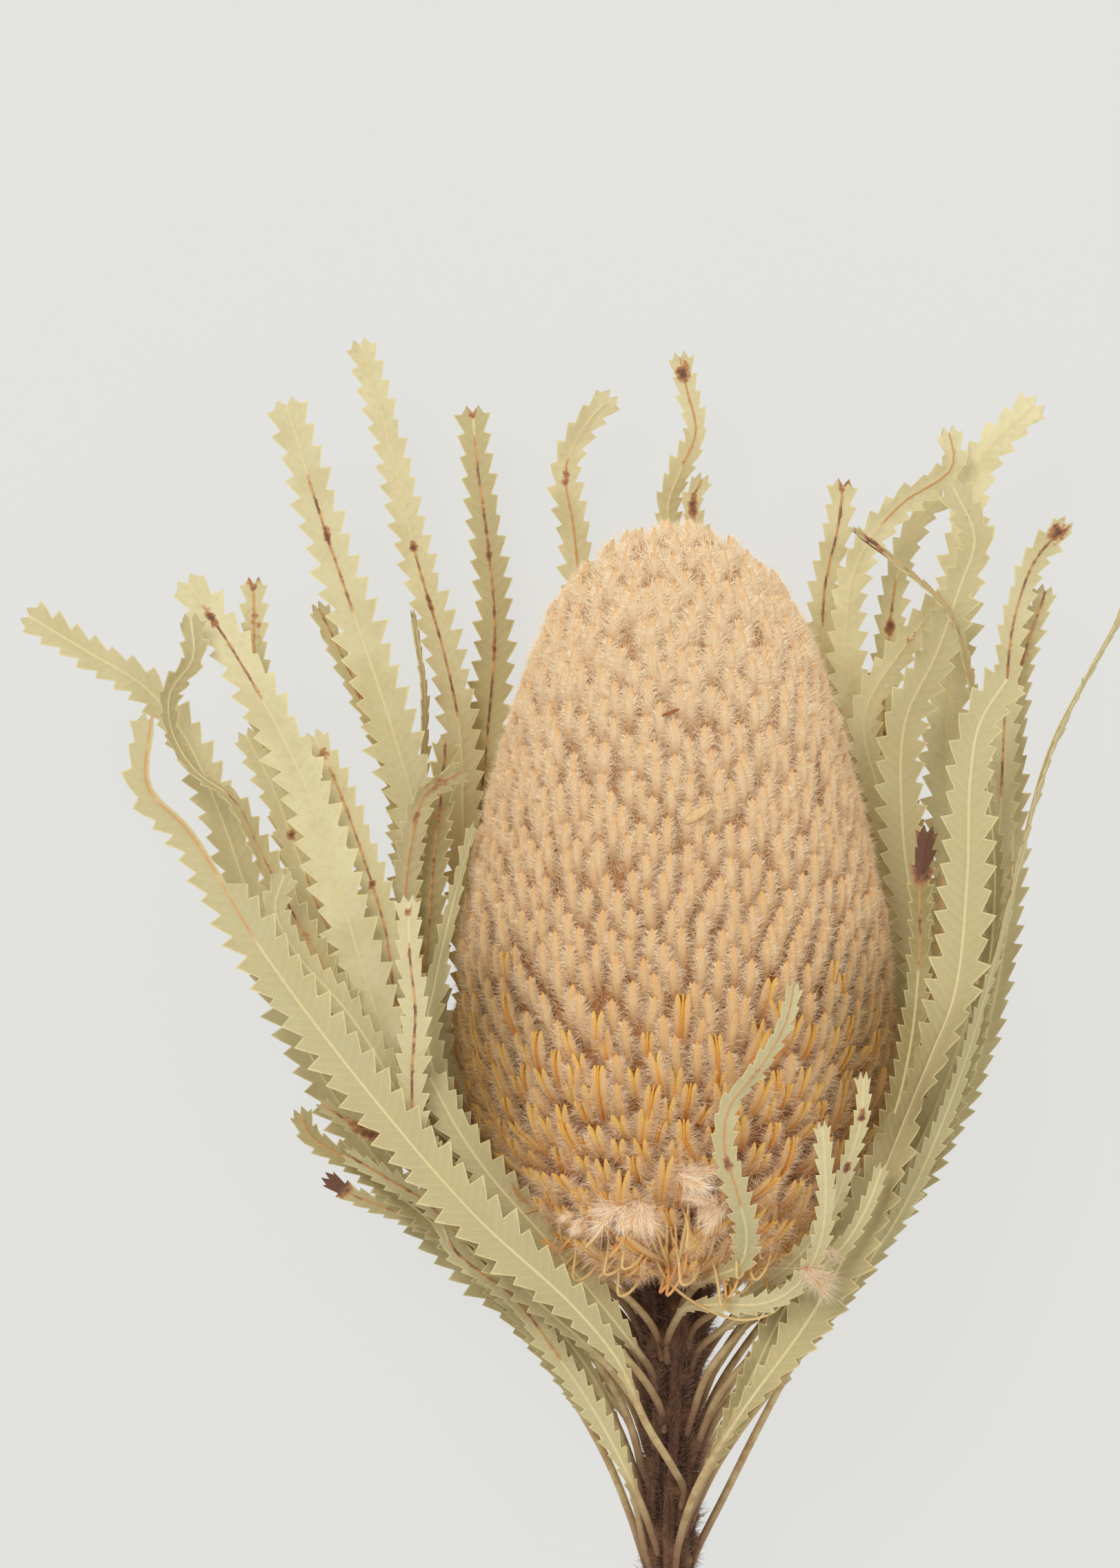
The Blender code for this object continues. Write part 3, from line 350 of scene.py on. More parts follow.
    "leaf_right_brown_tip": dict(
        stem=(-24.0, 95), width=5.5, turn=(0, 0, 0, 0, 0, 10), olive_and_shade=0.35, brown=((0.75, 1.0, 1.0),),
        stains=((0.99, 2.5, 1.6, 0.8), (0.85, 4, 0.5, 0.6)),
        rib=((5, -17, 27.5), (10, -7, 27.6), (17, 6, 27.6), (28, 24, 27.4), (37.5, 44, 27), (43, 64, 27),
             (45, 82, 27), (45.8, 98, 27.5), (47, 110, 28), (49.9, 118.5, 28.5), (54.4, 124, 29)),
    ),
    "leaf_right_outer": dict(
        stem=(-12.0, 110), width=5.0, olive_and_shade=0.45, brown=((0.85, 1.0, 0.9),), stains=((0.93, 3, 0.8, 0.6),),
        rib=((4.5, -5, 25.5), (15, 6.5, 24.6), (30, 24, 24), (41.5, 45, 23.8), (46.5, 68, 23.6),
             (47, 85, 23.8), (47.9, 101.6, 24.5), (51.7, 114.4, 25.5)),
    ),
    "leaf_right_long": dict(
        stem=(-24.5, 12), width=9.0, turn=(0, 0, -5, -20, -70, -10, 0, 0), olive_and_shade=0.55,
        stains=((0.96, 4, 3, 0.2),),
        rib=((0.8, -15.5, 36.5), (6.9, -4.8, 39), (16.8, 9, 40.3), (25.2, 24.3, 41), (30.5, 37, 41.5),
             (34.6, 47, 41.5), (38, 56, 41), (39.7, 72.1, 41), (40.2, 87.7, 41), (41.5, 95, 41),
             (45.5, 101.5, 41)),
    ),
    "leaf_right_inner": dict(
        stem=(-20.0, 35), width=4.5, olive_and_shade=0.85,
        rib=((2.5, -13, 34.3), (5.5, -7, 35.6), (9.4, 2, 36.3), (13, 9.5, 36.8), (18, 19, 37.2),
             (24.5, 31, 38.7)),
    ),
    "leaf_right_beside_head": dict(
        stem=(-5.0, 45), width=4.4, turn=(0, 0, 0, 10, 10, 0), olive_and_shade=0.85, brown=((0.8, 1.0, 0.9),),
        stains=((0.97, 6, 3, 1.0),),
        rib=((2.5, 1, 32.5), (8, 8, 32.5), (15, 15.5, 33.3), (22.5, 25, 34.2), (28.8, 37, 34.5),
             (31.8, 49, 34.8), (33, 62, 35), (33.2, 72, 35.4), (34.2, 79.5, 36)),
    ),
    "leaf_right_narrow": dict(
        stem=(-9.5, 65), width=3.4, olive_and_shade=0.75, brown=((0.5, 1.0, 0.7),), stains=((0.9, 5, 2, 0.5),),
        rib=((4, -2.5, 30.8), (11, 6, 30.6), (19.5, 18, 30.5), (28.5, 34, 30.5), (34.2, 52, 30.8),
             (36, 63, 31.2), (36.5, 73, 31.8)),
    ),
    "leaf_far_right": dict(
        stem=(-18.5, 60), width=4.0, turn=(0, 0, 20, 70, 80, 75), olive_and_shade=0.6,
        rib=((4, -12, 33), (9, -4.5, 34.5), (19, 8, 35.6), (31, 26, 36), (39, 45, 35.5), (43.5, 60, 34.5),
             (47.5, 75, 33.5), (52, 91, 33), (57.5, 102, 33), (61.8, 110, 33.5), (63.3, 115, 34)),
    ),
    "leaf_front_bent": dict(
        stem=(9.5, 8), width=4.3, turn=(0, 0, 0, 10, 50, 40), olive_and_shade=0.4, brown=((0.5, 1.0, 0.7),),
        stains=((0.6, 2, 1, 0.7), (0.8, 3, 1, 0.5)),
        rib=((0.5, 13.8, 39), (3.2, 15.5, 42), (7, 17.5, 46.5), (7.8, 22, 52), (6.4, 28, 57),
             (4.4, 35, 60.5), (5, 40.5, 62), (9.6, 46.6, 62), (13, 52.5, 61), (14.2, 57.5, 60)),
    ),
    "leaf_front_spotted": dict(
        stem=(7.5, 35), width=3.3, turn=(0, 10, 20, 20, 20), olive_and_shade=0.3,
        stains=((0.6, 1, 0.8, 1.0), (0.75, 1, 0.8, 1.0), (0.9, 1, 0.8, 1.0)),
        rib=((5, 11, 36.5), (9.8, 14, 39.5), (15.5, 18.5, 42), (20.5, 26, 45), (22.5, 32.5, 47.5),
             (24.3, 39, 49.5), (24.5, 44.3, 50)),
    ),
    "leaf_front_looped": dict(
        stem=(5.5, -10), width=3.4, turn=(0, 0, 10, 20, 10, 10), olive_and_shade=0.4, stains=((0.45, 3, 1, 0.4),),
        rib=((-1.8, 9.5, 37.5), (-0.5, 11, 40), (4, 11.6, 42), (9.5, 11.6, 43.5), (13.6, 13.2, 45),
             (16.6, 16.6, 47), (18.6, 22, 50), (19.1, 28, 52.5), (18.8, 34.4, 54), (18.5, 37.5, 54.5)),
    ),
    "leaf_front_low": dict(
        stem=(4.0, 50), width=3.3, turn=(0, 10, 20, 20, 20), olive_and_shade=0.5,
        rib=((4.5, 7.5, 34.8), (10.5, 11.8, 39.7), (16.2, 15, 43.6), (22, 20.5, 45), (25.2, 26, 46.2),
             (27.2, 31.3, 46.8)),
    ),
}


def srgb(red, green, blue):
    """A colour given as 0 to 255 on screen, as the linear values that a shader takes."""
    channels = (c / 255 for c in (red, green, blue))
    return tuple(c / 12.92 if c <= 0.04045 else ((c + 0.055) / 1.055) ** 2.4 for c in channels)


# Building meshes.

# How far a tube's two ends stand out, as shares of its radius there.
BLUNT_CAP = 0.3
POINTED_CAP = 0.7


def add_piece(name, points, faces, look, slot, replaced=(), layers=None, smooth=True, sharp=0):
    """One piece of the part: points in the plan's millimetres, triangles, and named colours of the points."""
    where = ((np.asarray(points, float) - (*PLAN_MIDDLE, 0.0)) * MM).astype(np.float32)
    faces = np.asarray(faces, np.int32)
    mesh = bpy.data.meshes.new(name)
    mesh.vertices.add(len(where))
    mesh.vertices.foreach_set("co", where.ravel())
    mesh.loops.add(faces.size)
    mesh.loops.foreach_set("vertex_index", faces.ravel())
    mesh.polygons.add(len(faces))
    mesh.polygons.foreach_set("loop_start", np.arange(0, faces.size, 3, dtype=np.int32))
    mesh.polygons.foreach_set("use_smooth", np.full(len(faces), smooth))
    for layer, values in (layers or {}).items():
        colours = np.ones((len(where), 4), np.float32)
        colours[:, :3] = values
        mesh.color_attributes.new(layer, "FLOAT_COLOR", "POINT").data.foreach_set("color", colours.ravel())
    mesh.update(calc_edges=True)
    if sharp:
        mesh.set_sharp_from_angle(angle=math.radians(sharp))
    mesh.validate()
    mesh.materials.append(look)
    piece = bpy.data.objects.new(name, mesh)
    bpy.context.scene.collection.objects.link(piece)
    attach(piece, "root")
    if replaced:
        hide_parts(*replaced)


def unit(vectors):
    return vectors / np.linalg.norm(vectors, axis=-1, keepdims=True)


def tubes(paths, radii, out, sides, flatness=1.0):
    """Closed bodies round many short paths at once: paths (tube, step, 3), radii (tube, step), out (tube, 3).

    Returns the points (tube, point, 3), the triangles, and each point's share of the way round from the side
    that faces out, 0 to 1. Each tube's points are its rings in turn, then its two end points.
    """
    count, steps, _ = paths.shape
    along = unit(np.gradient(paths, axis=1))
    side = unit(np.cross(along, out[:, None, :]))
    up = np.cross(side, along)
    turn = 2 * np.pi * np.arange(sides) / sides
    ring = np.cos(turn)[:, None] * flatness * up[:, :, None, :] + np.sin(turn)[:, None] * side[:, :, None, :]
    rings = paths[:, :, None, :] + radii[:, :, None, None] * ring
    start = paths[:, 0] - along[:, 0] * radii[:, :1] * BLUNT_CAP
    tip = paths[:, -1] + along[:, -1] * radii[:, -1:] * POINTED_CAP
    points = np.concatenate([rings.reshape(count, steps * sides, 3), start[:, None], tip[:, None]], axis=1)
    faces = []
    first, last = steps * sides, steps * sides + 1
    for j in range(sides):
        k = (j + 1) % sides
        for step in range(steps - 1):
            a, b = step * sides, step * sides + sides
            faces += [(a + j, a + k, b + k), (a + j, b + k, b + j)]
        faces += [(first, k, j), (last, (steps - 1) * sides + j, (steps - 1) * sides + k)]
    faces = (np.array(faces)[None] + (last + 1) * np.arange(count)[:, None, None]).reshape(-1, 3)
    away = np.tile((1 - np.cos(turn)) / 2, steps)
    return points, faces, np.append(away, (0.5, 0.0))


def along_tubes(steps, sides):
    """Each point's share of the way along its tube, in the order in which tubes gives the points."""
    return np.append(np.repeat(steps, sides), (0.0, 1.0))


def hairs(roots, tips, width, tones):
    """Thin blades from roots to tips, all (n, 3), turned at random, with tones (n, 3) at every corner."""
    side = unit(np.cross(tips - roots, unit(rng.normal(size=roots.shape)))) * width[:, None]
    points = np.stack([roots - side, roots + side, tips], axis=1).reshape(-1, 3)
    return points, np.arange(len(points)).reshape(-1, 3), np.repeat(tones, 3, axis=0)


def add_hairs(name, roots, tips, half_widths, tones, tip_tone, look, slot="florets"):
    """A piece of hairs, without those that would touch the surface. tip_tone is the first tone at tips."""
    clear = (tips[:, 2] > CLEAR_HEIGHT) & (roots[:, 2] > CLEAR_HEIGHT)
    widths = rng.uniform(*half_widths, clear.sum())
    points, faces, tone = hairs(roots[clear], tips[clear], widths, tones[clear])
    tone[2::3, 0] = tip_tone
    add_piece(name, points, faces, look, slot, (), {"tone": tone}, smooth=False)


def smooth_path(points, count):
    """count points at even spacing along a smooth curve through the given ones, and its length."""
    given = np.array(points, float)
    ends = np.vstack([2 * given[0] - given[1], given, 2 * given[-1] - given[-2]])
    steps = 12
    dense = []
    for a, b, c, d in zip(ends, ends[1:], ends[2:], ends[3:]):
        ab, bc, cd = (math.sqrt(np.linalg.norm(q - p)) for p, q in ((a, b), (b, c), (c, d)))
        out_b = (b - a) / ab - (c - a) / (ab + bc) + (c - b) / bc
        out_c = (c - b) / bc - (d - b) / (bc + cd) + (d - c) / cd
        for t in np.arange(steps) / steps:
            dense.append(
                (2 * t**3 - 3 * t**2 + 1) * b
                + (t**3 - 2 * t**2 + t) * out_b * bc
                + (3 * t**2 - 2 * t**3) * c
                + (t**3 - t**2) * out_c * bc
            )
    dense = np.array([*dense, given[-1]])
    lengths = np.append(0, np.cumsum(np.linalg.norm(np.diff(dense, axis=0), axis=1)))
    at = np.linspace(0, lengths[-1], count)
    return np.stack([np.interp(at, lengths, dense[:, i]) for i in range(3)], axis=1), lengths[-1]


# Materials.


def new_look(name, roughness):
    """A material with a Principled shader, its node tree and that shader."""
    made = bpy.data.materials.new(name)
    made.use_nodes = True
    shader = made.node_tree.nodes["Principled BSDF"]
    shader.inputs["Roughness"].default_value = roughness
    shader.inputs["Specular IOR Level"].default_value = 0.25
    return made, made.node_tree, shader


def node(tree, kind, **settings):
    made = tree.nodes.new("ShaderNode" + kind)
    for key, value in settings.items():
        setattr(made, key, value)
    return made


def layer_parts(tree, layer):
    """The three numbers of a named colour layer, as sockets."""
    read = node(tree, "Attribute", attribute_name=layer)
    split = node(tree, "SeparateColor")
    tree.links.new(read.outputs["Color"], split.inputs[0])
    return split.outputs


def noise(tree, scale, detail=3.0, roughness=0.55, stretch=(1, 1, 1)):
    """A noise pattern fixed to the object, scale in repeats a metre."""
    place = node(tree, "TexCoord")
    map_ = node(tree, "Mapping")
    map_.inputs["Scale"].default_value = stretch
    pattern = node(tree, "TexNoise")
    pattern.inputs["Scale"].default_value = scale
    pattern.inputs["Detail"].default_value = detail
    pattern.inputs["Roughness"].default_value = roughness
    tree.links.new(place.outputs["Object"], map_.inputs["Vector"])
    tree.links.new(map_.outputs["Vector"], pattern.inputs["Vector"])
    return pattern.outputs["Fac"]


def plug(tree, socket, value):
    """Links a socket into an input, or sets the input's own value."""
    if isinstance(value, bpy.types.NodeSocket):
        tree.links.new(value, socket)
    elif isinstance(value, tuple) and len(value) == 3:
        socket.default_value = (*value, 1.0)
    else:
        socket.default_value = value


def mix(tree, share, low, high, blend="MIX"):
    made = node(tree, "Mix", data_type="RGBA", blend_type=blend)
    plug(tree, made.inputs[0], share)
    plug(tree, made.inputs[6], low)
    plug(tree, made.inputs[7], high)
    return made.outputs[2]


def maths(tree, operation, *values):
    made = node(tree, "Math", operation=operation)
    for socket, value in zip(made.inputs, values):
        plug(tree, socket, value)
    return made.outputs[0]


def ramp(tree, value, start, end, low=0.0, high=1.0):
    """value taken smoothly from low at start to high at end."""
    made = node(tree, "MapRange", interpolation_type="SMOOTHSTEP")
    for socket, given in zip(made.inputs[:5], (value, start, end, low, high)):
        plug(tree, socket, given)
    return made.outputs[0]


def tinted(tree, base, colour, pattern, start, end, low=0.0, high=1.0):
    """base taken towards a colour, by a share from low to high as the pattern goes from start to end."""
    return mix(tree, ramp(tree, pattern, start, end, low, high), base, colour)


def paint(tree, shader, colour, glow=0.0):
    """Gives the shader its colour and, where there is a glow, that much light of the same colour."""
    plug(tree, shader.inputs["Base Color"], colour)
    if glow:
        plug(tree, shader.inputs["Emission Color"], colour)
        shader.inputs["Emission Strength"].default_value = glow


def bump(tree, shader, height, distance, strength=1.0):
    made = node(tree, "Bump")
    made.inputs["Strength"].default_value = strength
    made.inputs["Distance"].default_value = distance
    tree.links.new(height, made.inputs["Height"])
    tree.links.new(made.outputs["Normal"], shader.inputs["Normal"])


def place_parts(tree):
    """The x, y and z of a point in its object, as sockets."""
    place = node(tree, "TexCoord")
    split = node(tree, "SeparateXYZ")
    tree.links.new(place.outputs["Object"], split.inputs[0])
    return split.outputs


def up_the_head(tree):
    """How far up the head a point is: 0 at its base and 1 at its tip."""
    base = (HEAD_BASE_Y - PLAN_MIDDLE[1]) * MM
    return ramp(tree, place_parts(tree)["Y"], base, base + HEAD_PROFILE[-1][0] * MM)


# Painted light: the florets and wool glow faintly in their own colour, for the light that wool scatters.
WOOL_PAINTED_GLOW = 0.1
# How far from the head's middle the painted shade of the leaves starts, and where it is full.
SHADE_REACH = (15, 30)


def in_the_shade(tree, colour):
    """Painted shade: a colour browner down the sides of the head's lower half, where the leaves stand close.
    """
    middle = (HEAD_X - PLAN_MIDDLE[0]) * MM
    aside = maths(tree, "ABSOLUTE", maths(tree, "SUBTRACT", place_parts(tree)["X"], middle))
    side = ramp(tree, aside, SHADE_REACH[0] * MM, SHADE_REACH[1] * MM)
    low = ramp(tree, up_the_head(tree), 0.24, 0.5, 1.0, 0.15)
    return mix(tree, maths(tree, "MULTIPLY", side, low), colour, srgb(192, 180, 154), "MULTIPLY")


def floret_look():
    """Woolly buds: tan, orange-pointed, painted shade in the gaps, amber where split, a faint painted glow.
    """
    made, tree, shader = new_look("florets", 0.9)
    tip, amber, own = layer_parts(tree, "tone")[:3]
    body = mix(tree, up_the_head(tree), srgb(234, 184, 116), srgb(250, 222, 184))
    body = tinted(tree, body, srgb(252, 226, 182), own, 0.0, 1.0, 0.0, 0.35)
    body = tinted(tree, body, srgb(232, 180, 112), noise(tree, 1100, 4), 0.4, 0.7, 0.0, 0.35)
    # Painted shade: browner towards each floret's root, deep in the gaps between the florets.
    body = tinted(tree, body, srgb(186, 128, 74), tip, 0.1, 0.65, 0.65, 0.0)
    body = tinted(tree, body, srgb(252, 192, 112), tip, 0.66, 0.96, 0.0, 0.55)
    body = tinted(tree, body, srgb(250, 170, 82), tip, 0.95, 1.0, 0.0, 0.8)
    gold = mix(tree, ramp(tree, tip, 0.35, 0.9), srgb(244, 156, 54), srgb(255, 206, 92))
    # Painted shade of the leaves down the head's lower sides.
    colour = in_the_shade(tree, mix(tree, amber, body, gold))
    paint(tree, shader, colour, WOOL_PAINTED_GLOW)
    shader.inputs["Sheen Weight"].default_value = 0.4
    shader.inputs["Sheen Roughness"].default_value = 0.4
    shader.inputs["Sheen Tint"].default_value = (*srgb(250, 222, 180), 1.0)
    bump(tree, shader, noise(tree, 3400, 5, 0.7, (1, 0.5, 1)), 0.0004, 1.0)
    return made


def fuzz_look(name, root, end, glow):
    """Hairs from a root colour to an end colour, with a faint painted glow for the light that wool scatters.
    """
    made, tree, shader = new_look(name, 0.85)
    along, split, own = layer_parts(tree, "tone")[:3]
    strand = mix(tree, along, srgb(*root), srgb(*end))
    strand = tinted(tree, strand, srgb(*end), own, 0.0, 1.0, 0.0, 0.3)
    strand = tinted(tree, strand, srgb(*root), noise(tree, 500), 0.3, 0.7, 0.0, 0.2)
    strand = tinted(tree, strand, srgb(*end), up_the_head(tree), 0.5, 1.0, 0.0, 0.7)
    strand = mix(tree, maths(tree, "MULTIPLY", split, 0.25), strand, srgb(*root), "MULTIPLY")
    # Where there is a glow: painted shade of the leaves down the head's lower sides.
    if glow:
        strand = in_the_shade(tree, strand)
    paint(tree, shader, strand, glow)
    return made


def style_look():
    """Wiry styles, pale straw to amber, with painted shade down the head's lower sides."""
    made, tree, shader = new_look("styles", 0.45)
    along, amber, own = layer_parts(tree, "tone")[:3]
    straw = mix(tree, along, srgb(208, 170, 102), srgb(242, 212, 150))
    straw = tinted(tree, straw, srgb(236, 158, 92), own, 0.75, 1.0, 0.0, 0.8)
    colour = mix(tree, amber, straw, mix(tree, along, srgb(214, 122, 40), srgb(252, 182, 70)))
    colour = tinted(tree, colour, srgb(196, 140, 72), noise(tree, 1500), 0.4, 0.7, 0.0, 0.3)
    paint(tree, shader, in_the_shade(tree, colour))
    bump(tree, shader, noise(tree, 3000), 0.0001, 0.3)
    return made


def core_look():
    """The bed of wool between the florets, browner in patches, with painted shade down the head's lower
    sides.
    """
    made, tree, shader = new_look("core", 0.95)
    speckle = noise(tree, 900, 6, 0.7, (1, 0.3, 1))
    wool = mix(tree, up_the_head(tree), srgb(184, 120, 62), srgb(214, 168, 118))
    patches = mix(tree, ramp(tree, up_the_head(tree), 0.4, 0.9), srgb(126, 80, 44), srgb(196, 148, 98))
    wool = tinted(tree, wool, patches, speckle, 0.38, 0.7, 0.0, 0.75)
    paint(tree, shader, in_the_shade(tree, wool))
    bump(tree, shader, speckle, 0.0008)
    return made


def stray_look():
    """Bits of dry leaf: red-brown wood or pale chaff."""
    made, tree, shader = new_look("strays", 0.7)
    tone = layer_parts(tree, "tone")[0]
    grain = noise(tree, 1800, 4, 0.6)
    colour = mix(tree, tone, srgb(160, 92, 58), srgb(240, 206, 150))
    paint(tree, shader, tinted(tree, colour, srgb(196, 140, 84), grain, 0.4, 0.7, 0.0, 0.4))
    bump(tree, shader, grain, 0.0002)
    return made


def bark_look():
    """Dark ridged bark, redder in the furrows and grey-brown on the ridges."""
    made, tree, shader = new_look("bark", 0.85)
    ridge, scar, cut = layer_parts(tree, "tone")[:3]
    grain = noise(tree, 1400, 6, 0.65, (1, 0.12, 1))
    bark = mix(tree, ramp(tree, ridge, 0.2, 0.9), srgb(48, 27, 19), srgb(128, 92, 70))
    bark = tinted(tree, bark, srgb(74, 44, 32), grain, 0.4, 0.7, 0.0, 0.6)
    bark = mix(tree, scar, bark, srgb(176, 132, 86))
    paint(tree, shader, mix(tree, cut, bark, srgb(196, 160, 116)))
    bump(tree, shader, grain, 0.0006)
    return made


def leaf_look():
    """Dry blades: side veins, a thin pale rib, yellow margins, browner stalks, marks and painted shade from
    the layers.
    """
    made, tree, shader = new_look("leaf", 0.6)
    across, along, rim = layer_parts(tree, "blade")[:3]
    stain, rib_tone, olive_and_shade = layer_parts(tree, "marks_and_shade")[:3]
    stalk, foot, own = layer_parts(tree, "age")[:3]
    off = maths(tree, "ABSOLUTE", maths(tree, "MULTIPLY", maths(tree, "SUBTRACT", across, 0.5), LAYER_WIDTH))
    fine = noise(tree, 1000, 5, 0.6)
    broad = noise(tree, 110, 3, 0.5)
    streaks = noise(tree, 420, 3, 0.6)
    # The leaf's tone, pale to olive: partly its own colour, partly painted shade on low and rear leaves and
    # near the stalk.
    blade = mix(tree, olive_and_shade, srgb(240, 229, 182), srgb(156, 136, 78))
    blade = tinted(tree, blade, srgb(216, 206, 162), own, 0.0, 1.0, 0.0, 0.35)
    blade = tinted(tree, blade, srgb(200, 184, 132), broad, 0.4, 0.68, 0.0, 0.55)
    blade = tinted(tree, blade, srgb(188, 170, 116), fine, 0.45, 0.8, 0.0, 0.3)
    walked = maths(tree, "MULTIPLY", along, LAYER_LENGTH)
    run = maths(tree, "SUBTRACT", walked, maths(tree, "MULTIPLY", off, 0.9))
    vein = maths(tree, "SINE", maths(tree, "MULTIPLY", run, 3.7))
    blade = tinted(tree, blade, srgb(236, 224, 180), vein, 0.7, 1.0, 0.0, 0.09)
    blade = tinted(tree, blade, srgb(236, 222, 162), rim, 0.05, 0.16, 0.6, 0.0)
    worn = maths(tree, "MULTIPLY", rib_tone, streaks)
    rib = mix(tree, ramp(tree, worn, 0.05, 0.28), srgb(230, 212, 158), srgb(212, 162, 106))
    rib = tinted(tree, rib, srgb(132, 90, 64), worn, 0.38, 0.6)
    girth = maths(tree, "MULTIPLY", rib_tone, ramp(tree, fine, 0.45, 0.75, 0.0, 0.16))
    beside = maths(tree, "SUBTRACT", off, girth)
    blade = tinted(tree, blade, rib, beside, 0.12, 0.24, 0.95, 0.0)
    petiole = mix(tree, ramp(tree, streaks, 0.3, 0.7), srgb(212, 190, 138), srgb(180, 146, 102))
    petiole = mix(tree, foot, petiole, srgb(144, 108, 80))
    blade = mix(tree, stalk, blade, petiole)
    blotch = maths(tree, "ADD", stain, maths(tree, "MULTIPLY", maths(tree, "SUBTRACT", fine, 0.5), 0.8))
    brown = mix(tree, ramp(tree, blotch, 0.45, 0.8), srgb(196, 144, 96), srgb(116, 80, 62))
    paint(tree, shader, tinted(tree, blade, brown, blotch, 0.4, 0.55))
    bump(tree, shader, maths(tree, "ADD", maths(tree, "MULTIPLY", vein, 0.12), fine), 0.0002, 0.5)
    return made


# The flower head.


def head_side():
    """The head's side as even steps of arc: arc, height, radius, and how both change along it."""
    heights, radii = (np.array(v) for v in zip(*HEAD_PROFILE))
    arc = np.append(0, np.cumsum(np.hypot(np.diff(heights), np.diff(radii))))
    even = np.linspace(0, arc[-1], SIDE_STEPS)
    window = np.hanning(SIDE_WINDOW) / np.hanning(SIDE_WINDOW).sum()
    edge = dict(pad_width=SIDE_WINDOW // 2, mode="reflect", reflect_type="odd")
    height, radius = (
        np.convolve(np.pad(np.interp(even, arc, v), **edge), window, "valid") for v in (heights, radii)
    )
    slope = unit(np.stack([np.gradient(height), np.gradient(radius)], axis=1))
    return even, height, np.maximum(radius, 0.2), slope[:, 0], slope[:, 1]


SIDE = head_side()
HEAD_ARC = SIDE[0][-1]


def radial(around):
    """The direction straight away from the head's axis at an angle round it, 0 being up."""
    return np.stack([np.sin(around), np.zeros_like(around), np.cos(around)], axis=-1)


def on_head(arc, around):
    """Points of the head's outline, with the outward and the tipward direction there."""
    height, radius, rise, spread = (np.interp(arc, SIDE[0], values)[..., None] for values in SIDE[1:])
    away = radial(around)
    point = np.array([HEAD_X, HEAD_BASE_Y, HEAD_AXIS_Z]) + height * TIPWARD + radius * away
    return point, rise * away - spread * TIPWARD, rise * TIPWARD + spread * away


def pressed(points):
    """The same points, with what would pass through the surface pressed flat on it."""
    z = points[..., 2]
    low = PRESSED_BELOW * np.exp(np.minimum(z - PRESSED_BELOW, 0) / PRESSED_BELOW)
    return np.concatenate([points[..., :2], np.where(z < PRESSED_BELOW, low, z)[..., None]], axis=-1)


def floret_places():
    """Tip arc and angle of every floret, in staggered rows whose counts suit the head's girth there."""
    arcs, angles = [], []
    for row, arc in enumerate(np.arange(FIRST_ROW, HEAD_ARC, ROW_PITCH)):
        radius = np.interp(arc, SIDE[0], SIDE[2])
        count = next(n for limit, n in ROW_COUNTS if radius >= limit)
        turn = 2 * np.pi * (np.arange(count) + 0.5 * (row % 2)) / count
        arcs.append(arc + rng.normal(0, 0.5 + 0.5 * (arc / HEAD_ARC) ** 3, count))
        angles.append(turn + rng.normal(0, COLUMN_JITTER, count) / max(radius, 2.0))
    arcs, angles = np.concatenate(arcs), np.concatenate(angles)
    angles = angles + 0.035 * np.sin(arcs / 7.0 + 2 * angles) + 0.02 * np.sin(arcs / 3.1 + 5 * angles)
    tips, _, _ = on_head(arcs, angles)
    kept = np.ones(len(arcs), bool)
    for x, y in HOLES:
        kept &= (np.hypot(tips[:, 0] - x, tips[:, 1] - y) > HOLE_RADIUS) | (tips[:, 2] < HEAD_AXIS_Z)
    return arcs[kept], angles[kept]


def finger_paths(arcs, angles, length, splay, lean, lift, steps):
    """Paths of florets that rise from deep in the head and bend up to tips on its outline, (floret, step, 3).

    Each one's slope falls evenly from root to tip, so its place is that slope's integral back from the tip.
    """
    rise, spread = (np.interp(arcs, SIDE[0], values) for values in SIDE[3:])
    slope = np.clip(np.arctan2(spread, rise) + FLORET_LEAN + splay, math.radians(-6), math.radians(62))
    first = (slope + FLORET_BEND / 2)[:, None]
    here = first - FLORET_BEND * steps
    last = first - FLORET_BEND
    below = length[:, None] * (np.sin(here) - np.sin(last)) / FLORET_BEND
    inward = length[:, None] * (np.cos(last) - np.cos(here)) / FLORET_BEND
    tip, normal, _ = on_head(arcs, angles)
    out = radial(angles)
    around = np.cross(TIPWARD, out)
    paths = (tip + normal * lift[:, None])[:, None] - inward[..., None] * out[:, None]
    paths[..., 1] = np.maximum(paths[..., 1] - below, HEAD_BASE_Y + 0.5 * steps)
    return paths + (lean[:, None] * (steps - 0.3))[..., None] * around[:, None], out


